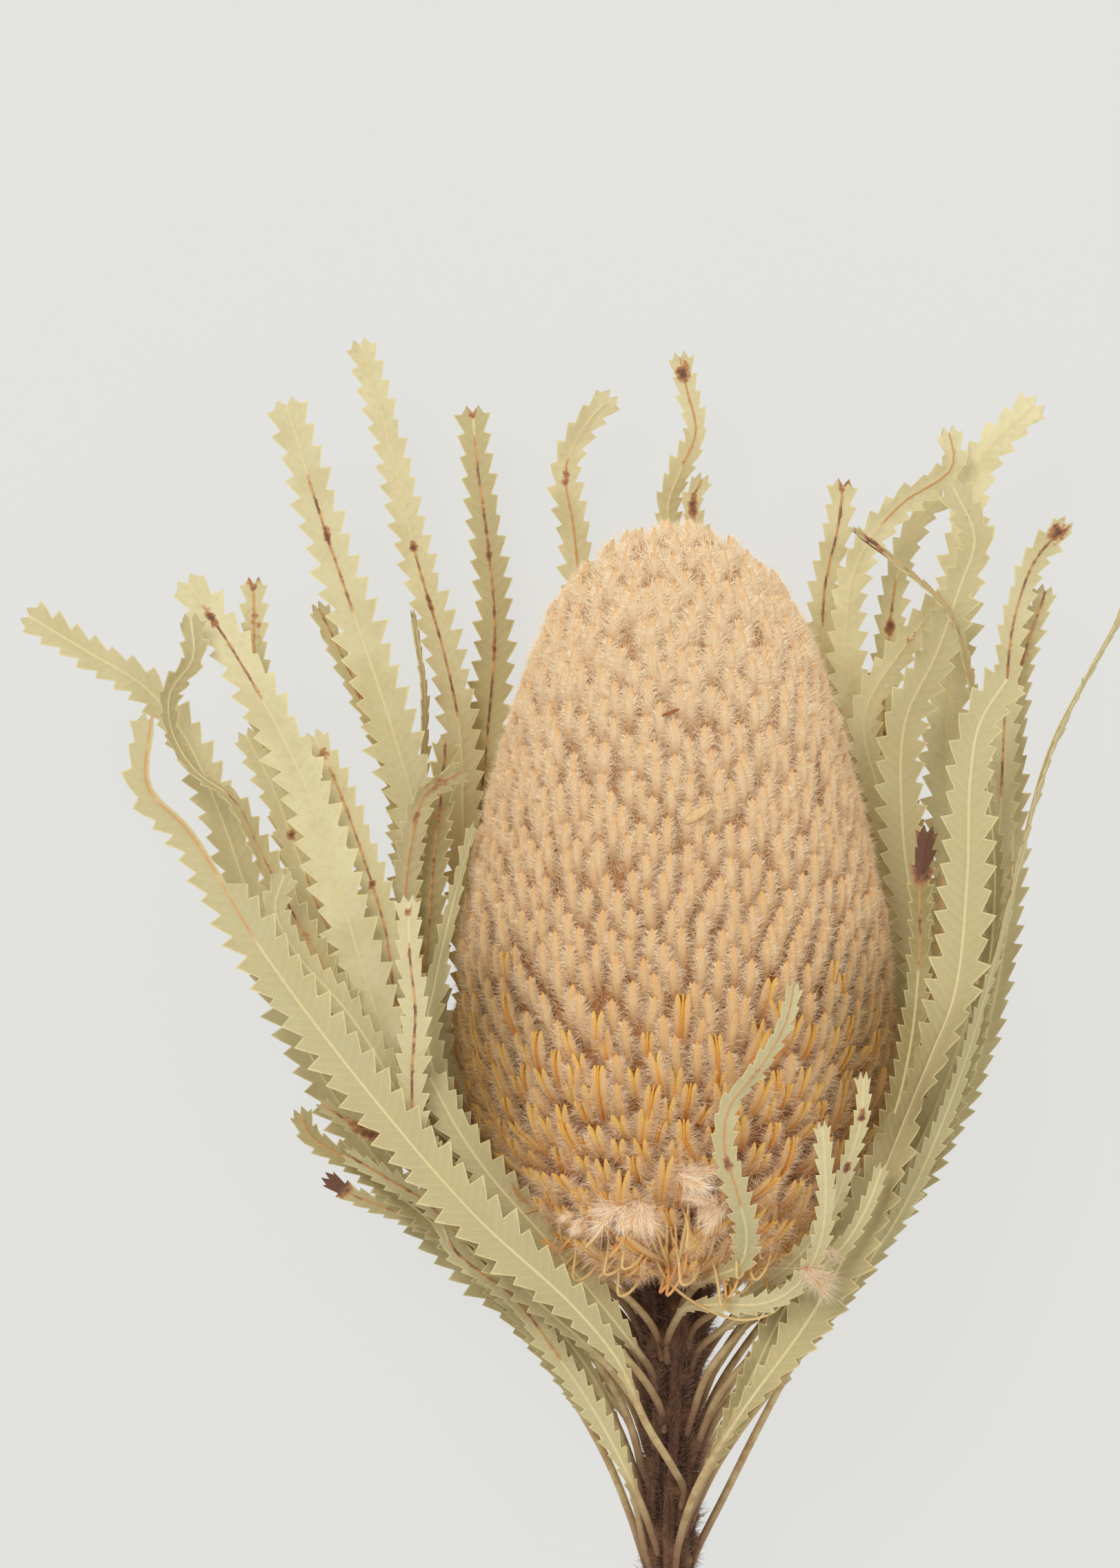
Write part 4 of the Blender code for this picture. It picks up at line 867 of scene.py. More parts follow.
def build_head(wool, fuzz, styles, core):
    """The florets, split ones low down, their wool and styles, over a rough core."""
    arcs, angles = floret_places()
    count = len(arcs)
    heights = np.interp(arcs, SIDE[0], SIDE[1])
    radii = np.interp(arcs, SIDE[0], SIDE[2])
    own = rng.random(count)
    openness = np.clip((OPEN_BELOW - heights + rng.normal(0, 6, count)) / OPEN_BLEND, 0, 1)
    closed = openness < 0.5
    small = np.clip(radii / 14, 0.7, 1.0)
    low = np.clip(1 - heights / 26, 0, 1)
    length = FLORET_LENGTH * rng.normal(1, 0.08, count) * (0.5 + 0.5 * small)
    splay = np.radians(openness * rng.normal(5, 11, count))
    lean = rng.normal(0, 0.45 + 0.9 * openness + 2.4 * low, count)
    lift = rng.normal(0, 0.25, count) + openness * rng.normal(0.5, 0.5, count)
    lift = lift + low * rng.uniform(0.5, 4.5, count)
    thick = FLORET_RADIUS * small * rng.normal(1, 0.08, count)
    paths, out = finger_paths(arcs, angles, length, splay, lean, lift, FLORET_STEPS)

    points, faces, _ = tubes(paths[closed], thick[closed, None] * FLORET_SWELL, out[closed], 6)
    along = along_tubes(FLORET_STEPS, 6)
    add_head_piece("buds", points, faces, wool, along, along * 0, own[closed], replaced=("flower_head",))

    split = ~closed
    prongs, facing = [], []
    across = np.cross(TIPWARD, out[split])
    for way in (-1, 1):
        spread = way * (0.36 + 0.42 * openness[split, None] * FLORET_STEPS**2)
        prongs.append(paths[split] + spread[..., None] * across[:, None])
        facing.append(out[split] * 0.1 + way * across)
    girth = np.tile(PRONG_GIRTH * thick[split, None] * FLORET_SWELL, (2, 1))
    points, faces, away = tubes(np.concatenate(prongs), girth, np.concatenate(facing), 5, 1.3)
    along = along_tubes(FLORET_STEPS, 5)
    inner = np.clip((away - 0.48) * 3, 0, 1) + np.clip((along - 0.88) * 8, 0, 0.6)
    inner = np.minimum(inner, 1) * np.tile(1 - 0.7 * low[split, None], (2, 1))
    add_head_piece("split_florets", points, faces, wool, along, inner, np.tile(own[split], 2))

    styled = np.flatnonzero(split)[::3]
    bows = paths[styled] + out[styled, None] * (0.2 + 0.8 * np.sin(np.pi * FLORET_STEPS))[:, None]
    points, faces, _ = tubes(bows, np.full(bows.shape[:2], SPLIT_STYLE_RADIUS), out[styled], 4)
    along = along_tubes(FLORET_STEPS, 4)
    add_head_piece("styles", points, faces, styles, along, along * 0 + 1, own[styled])

    rows, columns = CORE_GRID
    arc_grid = np.repeat(np.linspace(0, HEAD_ARC, rows), columns)
    turn_grid = np.tile(2 * np.pi * np.arange(columns) / columns, rows)
    shell, normal, _ = on_head(arc_grid, turn_grid)
    shell = pressed(shell - normal * CORE_DEPTH)
    add_piece("head_core", *closed_grid(shell, rows, columns), core, "florets")
    add_fuzz(arcs, paths, out, thick, openness, own, fuzz)
    add_bed(fuzz)


def closed_grid(points, rows, columns):
    """A lathe-like skin over a grid of points, closed by a fan at each end."""
    faces = []
    for row in range(rows - 1):
        for j in range(columns):
            k = (j + 1) % columns
            a, b = row * columns, (row + 1) * columns
            faces += [(a + j, b + k, a + k), (a + j, b + j, b + k)]
    ends = np.stack([points[:columns].mean(axis=0), points[-columns:].mean(axis=0)])
    first, last = rows * columns, rows * columns + 1
    for j in range(columns):
        k = (j + 1) % columns
        faces += [(first, j, k), (last, (rows - 1) * columns + k, (rows - 1) * columns + j)]
    return np.vstack([points, ends]), faces


def add_head_piece(name, points, faces, look, along, amber, own, replaced=()):
    """A piece of many like bodies, points (body, point, 3), with the tone layer that its look reads."""
    count, each, _ = points.shape
    tone = np.empty((count, each, 3))
    tone[..., 0] = along
    tone[..., 1] = amber
    tone[..., 2] = own[:, None]
    layers = {"tone": tone.reshape(-1, 3)}
    add_piece(name, pressed(points.reshape(-1, 3)), faces, look, "florets", replaced, layers)


FUZZ_PIECES = 3
FUZZ_EACH = 150000
FUZZ_LENGTH = (0.6, 2.0)
FUZZ_HALF_WIDTH = (0.024, 0.044)
BED_HAIRS = 50000
BED_LENGTH = (1.0, 2.1)
BED_HALF_WIDTH = (0.05, 0.08)
CLEAR_HEIGHT = 0.3


def add_fuzz(arcs, paths, out, thick, openness, own, look):
    """Wool on every floret: short hairs from its front and sides, up and outwards, most where it shows."""
    order = np.argsort(arcs)
    last = FLORET_STEPS.size - 2
    for piece, chosen in enumerate(np.array_split(order, FUZZ_PIECES)):
        shown = np.where(out[chosen, 2] > -0.35, 1.0, 0.3) * np.where(openness[chosen] < 0.5, 1.0, 0.8)
        picked = rng.choice(chosen, FUZZ_EACH, p=shown / shown.sum())
        u = rng.uniform(0.2, 0.94, FUZZ_EACH)
        low = np.minimum(np.searchsorted(FLORET_STEPS, u, side="right") - 1, last)
        part = ((u - FLORET_STEPS[low]) / (FLORET_STEPS[low + 1] - FLORET_STEPS[low]))[:, None]
        middle = paths[picked, low] * (1 - part) + paths[picked, low + 1] * part
        along = unit(paths[picked, low + 1] - paths[picked, low])
        side = unit(np.cross(along, out[picked]))
        up = np.cross(side, along)
        split = openness[picked] >= 0.5
        way = rng.choice((-1.0, 1.0), FUZZ_EACH)
        turns = rng.normal(1.5, 0.4, FUZZ_EACH), rng.normal(1.35, 0.42, FUZZ_EACH)
        turn = (way * np.where(split, *turns))[:, None]
        away = np.cos(turn) * up + np.sin(turn) * side
        girth = thick[picked] * np.interp(u, FLORET_STEPS, FLORET_SWELL) * np.where(split, 1.2, 0.9)
        roots = middle + girth[:, None] * away
        leaning = away + along * rng.uniform(0.0, 1.1, (FUZZ_EACH, 1))
        heading = unit(leaning + rng.normal(0, 0.4, (FUZZ_EACH, 3)))
        upper = np.interp(arcs[picked], (0.6 * HEAD_ARC, HEAD_ARC), (0.0, 1.0))
        length = rng.uniform(*FUZZ_LENGTH, FUZZ_EACH) * np.where(u > 0.8, 0.6, 1.0)
        tips = roots + heading * (length * (1 + 0.25 * openness[picked] + 0.5 * upper))[:, None]
        tones = np.stack([np.clip(1.3 * u - 0.25, 0, 1), openness[picked], own[picked]], axis=1)
        add_hairs(f"wool_{piece + 1}", roots, tips, FUZZ_HALF_WIDTH, tones, 1.0, look)


def add_bed(look):
    """Wool that stands on the bed between the florets."""
    share = rng.random(BED_HAIRS)
    girth = np.cumsum(SIDE[2] * np.where(SIDE[1] < OPEN_BELOW, 0.4, 1.0))
    arcs = np.interp(share * girth[-1], girth, SIDE[0])
    back = rng.random(BED_HAIRS) < 0.25
    angles = np.where(back, rng.uniform(0.6, 1.4, BED_HAIRS), rng.uniform(-0.6, 0.6, BED_HAIRS)) * np.pi
    point, normal, tipward = on_head(arcs, angles)
    roots = point - normal * CORE_DEPTH
    heading = unit(normal + tipward * rng.uniform(0.1, 1.0, (BED_HAIRS, 1)) + rng.normal(0, 0.4, roots.shape))
    tips = roots + heading * rng.uniform(*BED_LENGTH, (BED_HAIRS, 1))
    tones = np.stack([np.full(BED_HAIRS, 0.1), np.zeros(BED_HAIRS), rng.random(BED_HAIRS)], axis=1)
    add_hairs("bed_wool", roots, tips, BED_HALF_WIDTH, tones, 0.8, look)


LIMBS = 110
LIMB_LENGTH = (4.5, 8.5)
LIMB_WIDTHS = 0.4 * np.array([0.6, 0.8, 1.0, 1.0, 0.85, 0.6, 0.35, 0.12])
# The tufts that show: place in the plan, height, heading in degrees from right towards the tip, and length.
TUFTS = (
    (-15.5, 24.5, 47.5, 215, 3.0),
    (-10.0, 26.5, 52.0, 250, 6.5),
    (-7.5, 26.5, 52.5, 275, 5.5),
    (-2.5, 31.5, 56.0, 335, 7.0),
    (4.5, 27.0, 53.5, 215, 5.0),
    (10.5, 20.5, 48.0, 200, 3.5),
    (18.5, 20.0, 47.0, 330, 3.0),
    (15.5, 16.5, 48.0, 320, 7.0),
)
HIDDEN_TUFTS = 10
WISPS = 3
TUFT_HAIRS = 330
TUFT_HAIR_HALF_WIDTH = (0.022, 0.038)
RISERS = 96
RISER_LENGTH = (9, 16)
LOOPS = 48
LOOP_WIDTH = (2.0, 5.0)
LOOP_DEPTH = (3.0, 8.5)
STYLE_RADII = (0.27, 0.2)
LONG_STYLE = (
    (-6.5, 23.0, 46),
    (-4.0, 16.0, 45),
    (1.0, 11.5, 42),
    (7.5, 9.3, 42),
    (12.5, 11.0, 43),
    (14.0, 14.5, 42),
)
# Stray bits caught in the wool: place in the plan, length, half width, degrees from right, and tone.
STRAYS = {"stick": (-3.0, 96.5, 2.6, 0.3, 22, 0.0), "chaff": (0.9, 82.1, 4.6, 0.75, 32, 0.9)}


def tuft_places():
    """Each tuft's foot, heading and length. The ones that show lie on top, the others round the back."""
    feet, ways, lengths = [], [], []
    for x, y, z, degrees, length in TUFTS * WISPS:
        aim = math.radians(degrees + rng.normal(0, 20))
        feet.append(np.array((x, y, z)) + rng.normal(0, 0.6, 3))
        ways.append((math.cos(aim), math.sin(aim), rng.normal(0.15, 0.2)))
        lengths.append(length * rng.uniform(0.6, 1.15))
    for around in np.pi * np.linspace(0.55, 1.45, HIDDEN_TUFTS):
        point, _, _ = on_head(np.array(6.0), np.array(around))
        feet.append(tuple(point))
        ways.append((math.sin(around), -0.5, math.cos(around)))
        lengths.append(4.5)
    return np.array(feet), unit(np.array(ways)), np.array(lengths)


def build_base(wool, fuzz, styles):
    """What hangs round the head's base: loose petals that splay from it, tufts of long wool, wiry styles."""
    steps = FLORET_STEPS
    angles = 2 * np.pi * (np.arange(LIMBS) + rng.uniform(-0.4, 0.4, LIMBS)) / LIMBS
    heart, normal, _ = on_head(rng.uniform(2.0, 16.0, LIMBS), angles)
    out = radial(angles)
    across = np.cross(TIPWARD, out)
    raised = out * 0.6 + TIPWARD * rng.uniform(-0.5, 1.0, (LIMBS, 1))
    heading = unit(raised + across * rng.normal(0, 0.6, (LIMBS, 1)))
    reach = rng.uniform(*LIMB_LENGTH, LIMBS)[:, None, None]
    start = (heart - normal * 1.5)[:, None]
    sag = TIPWARD * (0.9 * np.sin(np.pi * steps))[:, None]
    limbs = start + heading[:, None] * reach * steps[:, None] + sag

    foot, way, length = tuft_places()
    core = foot[:, None] + way[:, None] * (length[:, None] * steps)[..., None]
    paths = np.concatenate([limbs, core])
    outs = np.concatenate([out, np.tile((0.05, 0.05, 1.0), (len(foot), 1))])
    points, faces, away = tubes(paths, np.tile(LIMB_WIDTHS, (len(paths), 1)), outs, 6, 0.6)
    along = along_tubes(steps, 6)
    own = rng.random(len(paths))
    add_head_piece("loose_petals", points, faces, wool, along, np.clip((away - 0.5) * 2, 0, 0.3), own)

    picked = np.repeat(np.arange(len(foot)), TUFT_HAIRS)
    u = rng.beta(1.2, 1.5, len(picked))[:, None]
    roots = foot[picked] + way[picked] * length[picked, None] * u * 0.9
    forward = way[picked] * rng.uniform(0.2, 2.0, (len(picked), 1))
    ways = unit(forward + 0.7 * unit(rng.normal(size=roots.shape)))
    tips = roots + ways * (rng.uniform(0.25, 0.9, len(picked)) * length[picked])[:, None]
    tones = np.stack([np.full(len(picked), 0.8), np.zeros(len(picked)), own[picked]], axis=1)
    add_hairs("base_tufts", roots, tips, TUFT_HAIR_HALF_WIDTH, tones, 1.0, fuzz)

    build_loose_styles(styles)


def build_loose_styles(look):
    """Wiry styles: some rise over the lowest florets, others hang in loops, and a long one curls away."""
    t = np.linspace(0, 1, 12)
    angles = rng.uniform(-0.55, 0.55, RISERS // 8).repeat(8) * np.pi + rng.normal(0, 0.07, RISERS)
    reach = 2.0 + rng.uniform(*RISER_LENGTH, RISERS)[:, None] * t
    turn = angles[:, None] + rng.normal(0, 0.12, RISERS)[:, None] * t
    point, normal, _ = on_head(reach, turn)
    paths = point + normal * (rng.uniform(0.8, 2.2, RISERS)[:, None] * np.sin(np.pi * t) + 0.3)[..., None]
    add_styles("rising_styles", paths, radial(angles), t, look)

    t = np.linspace(0, 1, 18)
    spread = rng.uniform(-1, 1, LOOPS), rng.uniform(-0.35, 0.35, LOOPS)
    angles = np.where(np.arange(LOOPS) % 2, *spread) * np.pi
    root, _, _ = on_head(rng.uniform(4.0, 13.0, LOOPS), angles)
    out = radial(angles)
    across = np.cross(TIPWARD, out)
    wide = rng.uniform(*LOOP_WIDTH, LOOPS)[:, None] * rng.choice((-1, 1), (LOOPS, 1))
    deep = rng.uniform(*LOOP_DEPTH, LOOPS)[:, None]
    bow = np.sin(np.pi * t)
    paths = root[:, None] + (rng.uniform(2.0, 5.0, LOOPS)[:, None] * bow + 1.5 * t)[..., None] * out[:, None]
    paths = paths - (deep * bow**1.2 - 3.0 * t)[..., None] * TIPWARD
    sideways = wide * (1 - np.cos(np.pi * t)) / 2 + 0.6 * np.sin(3 * np.pi * t)
    paths = paths + sideways[..., None] * across[:, None]
    add_styles("looped_styles", paths, out, t, look)
    long_style, _ = smooth_path(LONG_STYLE, 40)
    add_styles("long_style", long_style[None], np.array([[0.3, 0.0, 1.0]]), np.linspace(0, 1, 40), look)


def add_strays(look):
    """The bits caught in the wool, each a short flat body that lies on the florets' tips."""
    for name, (x, y, length, wide, degrees, tone) in STRAYS.items():
        girth = np.interp(y - HEAD_BASE_Y, SIDE[1], SIDE[2])
        z = HEAD_AXIS_Z + math.sqrt(girth**2 - (x - HEAD_X) ** 2) + 0.9
        way = np.array([math.cos(math.radians(degrees)), math.sin(math.radians(degrees)), 0.1])
        t = np.linspace(0, 1, 6)
        path = np.array([x, y, z]) + way * ((t - 0.5) * length)[:, None]
        widths = wide * np.array([0.5, 0.9, 1.0, 0.95, 0.8, 0.4])
        points, faces, _ = tubes(path[None], widths[None], np.array([[0.0, 0.1, 1.0]]), 8, 0.35)
        along = np.full(points.shape[1], tone)
        add_head_piece(name, points, faces, look, along, along * 0, np.array([0.2]))


def add_styles(name, paths, out, t, look):
    """A piece of thin styles along these paths, t being each step's share of the way."""
    radii = STYLE_RADII[0] - (STYLE_RADII[0] - STYLE_RADII[1]) * t
    points, faces, _ = tubes(paths, np.tile(radii, (len(paths), 1)), out, 6)
    along = along_tubes(t, 6)
    add_head_piece(name, points, faces, look, along, along * 0, rng.random(len(paths)))


# The stem.


def stem_at(y):
    """The stem's centre at this y of the plan, and its radius there."""
    path, _ = smooth_path(STEM_PATH, 200)
    centre = np.array([np.interp(-y, -path[:, 1], path[:, i]) for i in range(3)])
    share = (path[0, 1] - y) / (path[0, 1] - path[-1, 1])
    return centre, float(np.interp(share, *zip(*STEM_RADII)))


def build_stem(look, fuzz):
    """The ridged stem: a cushion under each stalk, the scars of shed leaves, and hairs on its upper part."""
    rings, sides = STEM_GRID
    path, length = smooth_path(STEM_PATH, rings)
    shares, widths = zip(*STEM_RADII)
    along = unit(np.gradient(path, axis=0))
    side = unit(np.cross(along, (0.0, 0.0, 1.0)))
    up = np.cross(side, along)
    share = np.repeat(np.linspace(0, 1, rings), sides)
    turn = np.tile(2 * np.pi * np.arange(sides) / sides, rings)
    at = share * length
    radius = np.interp(share, shares, widths)
    ridge = 0.5 + 0.5 * np.cos(7 * turn + 1.3 * np.sin(at / 9.0) + 0.5 * np.sin(at / 3.1))
    fine = 0.5 + 0.5 * np.cos(19 * turn + 2.0 * np.sin(at / 5.0 + 2 * turn))
    scar = np.zeros_like(at)
    stalks = [(path[0, 1] - leaf["stem"][0], -math.radians(leaf["stem"][1])) for leaf in LEAVES.values()]
    shed = [(SHED_FROM + SHED_OVER * k / SHED_LEAVES, SHED_TURN * k) for k in range(SHED_LEAVES)]
    for places, (high, wide) in ((stalks, CUSHION), (shed, SHED_SCAR)):
        for place, angle in places:
            round_ = np.angle(np.exp(1j * (turn - angle))) * radius
            bump_ = np.exp(-(((at - place) / (wide * 1.2)) ** 2) - (round_ / wide) ** 2)
            radius = radius + high * bump_ * (at > 1.0) * (at < length - 1.5)
            scar = np.maximum(scar, bump_ * high)
    radius = radius + 0.32 * (ridge - 0.5) + 0.12 * (fine - 0.5)
    path, side, up = (np.repeat(v, sides, axis=0) for v in (path, side, up))
    ring = np.sin(turn)[:, None] * side + np.cos(turn)[:, None] * up
    points = path + radius[:, None] * ring
    skin, faces = closed_grid(points, rings, sides)
    faces = np.array(faces)[:, ::-1]
    cut = np.zeros(len(skin))
    cut[-1] = cut[-2] = 1.0
    ridges = np.append(0.6 * ridge + 0.4 * fine, (0.5, 0.5))
    layer = np.stack([ridges, np.append(scar * 0.5, (0, 0)), cut], axis=1)
    add_piece("woody_stem", skin, faces, look, "bark", ("stem",), {"tone": layer})

    picked = rng.integers(0, rings * sides, STEM_HAIRS)
    keep = rng.random(STEM_HAIRS) < np.clip(1.3 - share[picked] * 2.0, 0.06, 1)
    picked = picked[keep]
    roots = points[picked] + rng.normal(0, 0.15, (len(picked), 3))
    heading = unit(ring[picked] + 0.5 * rng.normal(0, 1, (len(picked), 3)) + (0.0, 0.5, 0.0))
    tips = roots + heading * (rng.uniform(*STEM_HAIR_LENGTH, len(picked)) * (1.5 - share[picked]))[:, None]
    own = rng.random(len(picked)) * 0.5
    tones = np.stack([np.full(len(picked), 0.1), np.zeros(len(picked)), own], axis=1)
    add_hairs("stem_hairs", roots, tips, STEM_HAIR_HALF_WIDTH, tones, 0.8, fuzz, "bark")


# The leaves.


def half_width(share, width):
    """Half the leaf's width over its teeth: a bare stalk, then a blade that widens and ends nearly square."""
    blade = np.clip((share - 0.12) / 0.26, 0, 1)
    swell = blade * blade * (3 - 2 * blade)
    taper = 1 - 0.3 * np.clip((share - 0.72) / 0.28, 0, 1)
    return STALK_HALF_WIDTH + (width / 2 - STALK_HALF_WIDTH) * swell * taper


class Blade:
    """The points, layers and triangles of one leaf while they are being made."""

    def __init__(self, leaf):
        self.leaf = leaf
        self.brown = leaf.get("brown", ())
        self.stains = leaf.get("stains", ())
        self.own = rng.random()
        self.wave = rng.uniform(0, 6.28)
        y, degrees = leaf["stem"]
        out = radial(math.radians(degrees))
        centre, radius = stem_at(y - FOOT_DROP)
        above, _ = stem_at(y)
        route = [centre + (radius - 0.3) * out, above + (radius + 1.0) * out, *leaf["rib"]]
        self.length = smooth_path(route, 2)[1]
        self.forward = float(np.interp(leaf["width"], *TOOTH_FORWARD))
        self.teeth = max(FEWEST_TEETH, round(self.length / (TOOTH_PITCH + PITCH_FOR_WIDTH * leaf["width"])))
        self.rib = smooth_path(route, self.teeth * FINE + 1)[0]
        self.along = unit(np.gradient(self.rib, axis=0))
        turns = leaf.get("turn", (0,))
        angle = np.radians(np.interp(np.linspace(0, 1, len(self.rib)), np.linspace(0, 1, len(turns)), turns))
        level = unit(np.array([0, 0, 1.0]) - self.along * self.along[:, 2:3])
        self.face = level * np.cos(angle)[:, None] + np.cross(self.along, level) * np.sin(angle)[:, None]
        self.side = np.cross(self.along, self.face)
        self.points, self.faces, self.blade, self.mark, self.age = [], [], [], [], []

    def share(self, index):
        """How far along the rib a step is, 0 to 1."""
        return index / (len(self.rib) - 1)

    def add_point(self, index, reach, lift, rim, ahead=0.0, flutter=0.0):
        """A point beside the rib: reach across, lift off the blade, rim from 0 at the margin to 1 inside."""
        bladed = self.bladed(index)
        tooth = index / FINE
        sway = 0.1 * math.sin(tooth * 0.6 + self.wave)
        sway += 0.07 * math.sin(tooth * 1.7 + math.copysign(1.2, reach))
        curl = abs(reach) * (BLADE_FOLD + sway) * bladed + flutter
        place = self.rib[index] + self.side[index] * reach + self.face[index] * (curl + lift)
        self.points.append(place + self.along[index] * ahead)
        share = self.share(index)
        walked = share * self.length
        self.blade.append((reach / LAYER_WIDTH + 0.5, (walked + ahead) / LAYER_LENGTH, rim))
        stain = 0.0
        for spot, long, wide, strength in self.stains:
            gap = ((walked - spot * self.length) / long) ** 2 + (reach / wide) ** 2
            stain = max(stain, strength * math.exp(-gap))
        tone = max([t for start, end, t in self.brown if start <= share <= end], default=0.0)
        # The third number is the leaf's own olive tone and painted shade, with more painted shade towards the
        # stalk.
        self.mark.append((stain, tone, self.leaf["olive_and_shade"] + 0.25 * (1 - share)))
        self.age.append((1 - bladed, math.exp(-((walked / 10) ** 2)), self.own))
        return len(self.points) - 1

    def bladed(self, index):
        """0 where the leaf is a bare stalk and 1 where it is a blade."""
        beyond = half_width(self.share(index), self.leaf["width"]) - STALK_HALF_WIDTH
        return float(np.clip(beyond / 0.9, 0, 1))

    def add_section(self, index, left, right, ends=(0.0, 0.0, 0.0, 0.0)):
        """The points across each face at one place, from the left edge to the right, moved ahead by ends."""
        first = len(self.points)
        bladed = self.bladed(index)
        for way in (1, -1):
            for column in range(COLUMNS):
                spot = column - 3
                edge = left if spot < 0 else right
                broad = math.copysign((0.0, min(RIB_HALF_WIDTH, edge), 0.55 * edge, edge)[abs(spot)], spot)
                stalk = STALK_HALF_WIDTH * math.sin(spot / 3 * math.pi / 2)
                reach = stalk + (broad - stalk) * bladed
                flat = FACE_LIFTS[abs(spot)]
                bulge = 0.5 * math.cos(spot / 3 * math.pi / 2) + 0.02
                rim = (1.0, 1.0, min(0.45 * edge, 1.0), 0.0)[abs(spot)]
                self.add_point(index, reach, way * (bulge + (flat - bulge) * bladed), rim, ends[abs(spot)])
        return first

    def middle(self, a, b):
        """A new point halfway between two others, under the middle of a tooth and so inside the margin."""
        self.points.append((self.points[a] + self.points[b]) / 2)
        for layer in (self.blade, self.mark, self.age):
            layer.append(tuple((p + q) / 2 for p, q in zip(layer[a], layer[b])))
        self.blade[-1] = (*self.blade[-1][:2], 0.45)
        return len(self.points) - 1

    def join(self, here, ahead, tips):
        """The skin between two sections, with a tooth on either edge where tips gives its point."""
        last = COLUMNS - 1
        for base, order in ((0, 1), (COLUMNS, -1)):
            for column in range(1, last - 1):
                a, d = base + here + column, base + ahead + column
                self.faces += [(a, a + 1, d + 1)[::order], (a, d + 1, d)[::order]]
        for tip, edge, inner, way in ((tips[0], 0, 1, 1), (tips[1], last, last - 1, -1)):
            ring = []
            for base, order in ((0, way), (COLUMNS, -way)):
                a, b, c, d = (base + v for v in (here + edge, here + inner, ahead + inner, ahead + edge))
                if tip is None:
                    self.faces += [(a, b, c)[::order], (a, c, d)[::order]]
                    ring.append([a, d])
                else:
                    half = self.middle(a, d)
                    self.faces += [(a, b, half)[::order], (b, c, half)[::order], (c, d, half)[::order]]
                    ring.append([a, half, d])
            loop = ring[0] + ring[1][::-1]
            if tip is None:
                self.faces += [(loop[0], loop[1], loop[2])[::way], (loop[0], loop[2], loop[3])[::way]]
            else:
                self.faces += [(a, b, tip)[::way] for a, b in zip(loop, loop[1:] + loop[:1])]

    def close(self, section, order):
        """Closes the leaf at its first or last section with a fan."""
        upper = list(range(section, section + COLUMNS))
        loop = (upper[::-1] + [v + COLUMNS for v in upper])[::order]
        middle = len(self.points)
        self.points.append(np.mean([self.points[v] for v in loop], axis=0))
        for layer in (self.blade, self.mark, self.age):
            layer.append(tuple(np.mean([layer[v] for v in loop], axis=0)))
        self.faces += [(middle, a, b) for a, b in zip(loop, loop[1:] + loop[:1])]


def build_leaf(name, leaf, look):
    """One leaf: a slim stalk, then a blade with every tooth of both margins, and a thin raised rib."""
    blade = Blade(leaf)
    width = leaf["width"]
    torn_from = 1 - leaf.get("torn", 0)
    before = None
    for tooth in range(blade.teeth):
        jag = rng.normal(1, TOOTH_JAG, 2)
        notch_jag = rng.normal(1, NOTCH_JAG, 2)
        for half_step in (0, 1):
            index = tooth * FINE + half_step * FINE // 2
            share = blade.share(index)
            half = half_width(share, width)
            notch = half * NOTCH_SHARE
            slope = 0.45 / blade.forward if half_step else 0.0
            reaches = [notch * notch_jag[k] + (half * jag[k] - notch * notch_jag[k]) * slope for k in (0, 1)]
            if share > torn_from:
                reaches[1] = RIB_HALF_WIDTH * (1.2 + 0.8 * jag[0])
            section = blade.add_section(index, *reaches)
            if before is not None:
                blade.join(before, section, tips if not half_step else (None, None))
            before = section
        tips = []
        at = tooth * FINE + round(blade.forward * FINE)
        half = half_width(blade.share(at), width)
        for which, way in ((0, -1), (1, 1)):
            toothed = half > 1.4 * STALK_HALF_WIDTH and not (which and blade.share(at) > torn_from)
            flutter = rng.normal(0, TOOTH_FLUTTER) * half
            point = (at, way * half * jag[which], 0, 0.0, TOOTH_AHEAD, flutter)
            tips.append(blade.add_point(*point) if toothed else None)
    last = len(blade.rib) - 1
    half = half_width(1.0, width) * BLUNT_END
    end = [half, RIB_HALF_WIDTH if torn_from < 1 else half]
    section = blade.add_section(last, *end, END_HOLLOW)
    blade.join(before, section, tips)
    blade.close(0, 1)
    blade.close(section, -1)
    layers = {"blade": np.array(blade.blade), "marks_and_shade": np.array(blade.mark), "age": np.array(blade.age)}
    add_piece(name + "_blade", blade.points, blade.faces, look, "leaf", (name,), layers, sharp=50)


# The picture.

FRAME_HEIGHT = 2274
PLAN_PER_PIXEL = 0.1
VIEW_CENTRE = (-18.8, 86.3)
CAMERA_DISTANCE = 1500.0
LONG_SIDE = 36.0
FLOOR_GLOW = 0.9
FLOOR_REACH = 4.0
FLOOR_GAP = 0.0002
SKY_STRENGTH = 0.66
KEY_WATTS = 9.0


def add_camera():
    """A long lens that looks straight down, with the photograph's scale at the height of the head's axis."""
    data = bpy.data.cameras.new("camera")
    data.sensor_fit = "AUTO"
    data.sensor_width = LONG_SIDE
    data.lens = LONG_SIDE * CAMERA_DISTANCE / (FRAME_HEIGHT * PLAN_PER_PIXEL)
    data.clip_start = 0.05
    data.clip_end = 20.0
    camera = bpy.data.objects.new("camera", data)
    camera.location = (
        (VIEW_CENTRE[0] - PLAN_MIDDLE[0]) * MM,
        (VIEW_CENTRE[1] - PLAN_MIDDLE[1]) * MM,
        (HEAD_AXIS_Z + CAMERA_DISTANCE) * MM,
    )
    bpy.context.scene.collection.objects.link(camera)
    bpy.context.scene.camera = camera


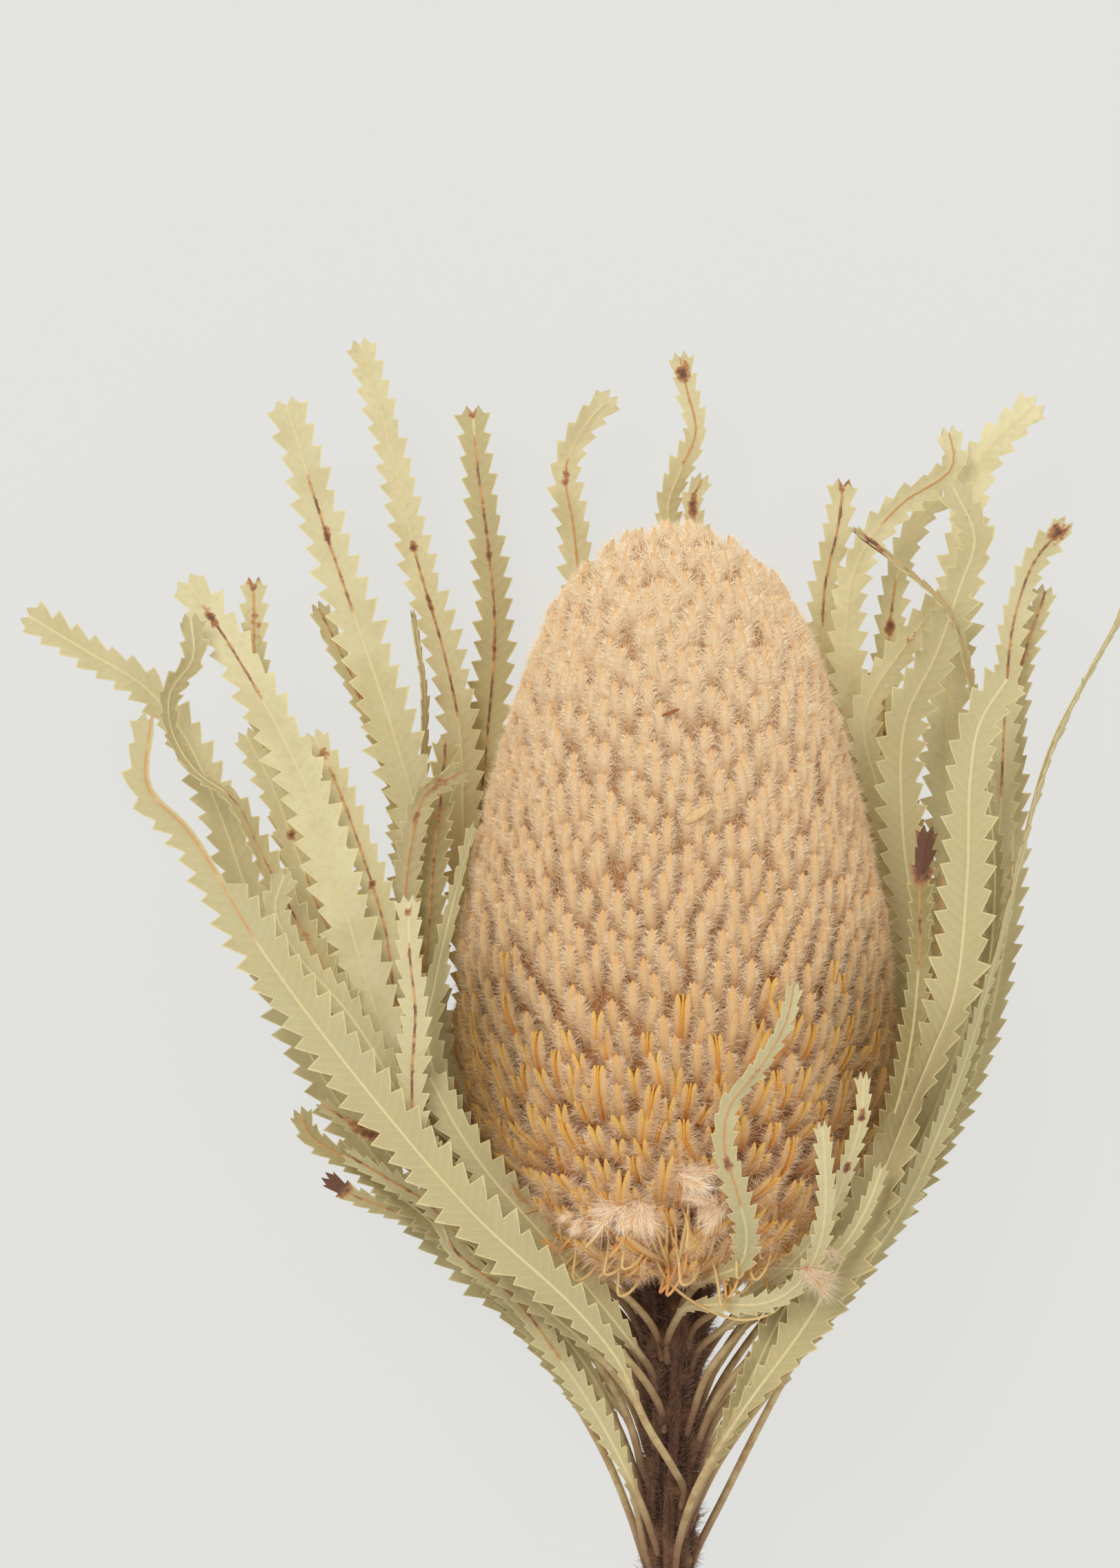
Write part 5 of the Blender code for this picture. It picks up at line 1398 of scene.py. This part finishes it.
def add_lamp(name, place, size, power, aim=(0.0, 0.03, 0.02)):
    """A round soft lamp that faces the aim, places in metres."""
    data = bpy.data.lights.new(name, "AREA")
    data.shape = "DISK"
    data.size = size
    data.energy = power
    lamp = bpy.data.objects.new(name, data)
    lamp.location = place
    direction = np.array(aim) - np.array(place)
    tilt = math.atan2(math.hypot(direction[0], direction[1]), -direction[2])
    lamp.rotation_euler = (tilt, 0.0, math.atan2(direction[1], direction[0]) - math.pi / 2)
    bpy.context.scene.collection.objects.link(lamp)


def add_surroundings():
    """A pale table lit a little from within, so that shadows on it stay faint, an even sky and two lamps."""
    made, tree, shader = new_look("floor", 0.95)
    pale = mix(tree, noise(tree, 6.0), srgb(225, 225, 221), srgb(227, 226, 223))
    plug(tree, shader.inputs["Base Color"], mix(tree, FLOOR_GLOW, pale, (0.0, 0.0, 0.0)))
    plug(tree, shader.inputs["Emission Color"], pale)
    shader.inputs["Emission Strength"].default_value = FLOOR_GLOW
    mesh = bpy.data.meshes.new("floor")
    corners = [(x * FLOOR_REACH, y * FLOOR_REACH, 0) for x, y in ((-1, -1), (1, -1), (1, 1), (-1, 1))]
    mesh.from_pydata(corners, [], [(0, 1, 2, 3)])
    mesh.materials.append(made)
    floor = bpy.data.objects.new("floor", mesh)
    floor.location.z = -FLOOR_GAP
    bpy.context.scene.collection.objects.link(floor)
    world = bpy.data.worlds.new("sky")
    world.use_nodes = True
    back = world.node_tree.nodes["Background"]
    back.inputs["Color"].default_value = (1.0, 1.0, 1.0, 1.0)
    back.inputs["Strength"].default_value = SKY_STRENGTH
    bpy.context.scene.world = world
    add_lamp("key", (-0.5, 0.75, 1.4), 0.7, KEY_WATTS)
    add_lamp("fill", (0.9, 0.1, 1.2), 1.2, KEY_WATTS / 3)
    bpy.context.scene.view_settings.view_transform = "Standard"


def main():
    wool = floret_look()
    fuzz = fuzz_look("wool", (206, 160, 100), (252, 238, 208), WOOL_PAINTED_GLOW)
    tuft = fuzz_look("tuft_wool", (232, 200, 156), (254, 241, 218), WOOL_PAINTED_GLOW)
    hair = fuzz_look("stem_hair", (96, 66, 52), (190, 154, 128), 0.0)
    styles = style_look()
    add_camera()
    add_surroundings()
    build_head(wool, fuzz, styles, core_look())
    build_base(wool, tuft, styles)
    add_strays(stray_look())
    build_stem(bark_look(), hair)
    look = leaf_look()
    for name, leaf in LEAVES.items():
        build_leaf(name, leaf, look)


main()
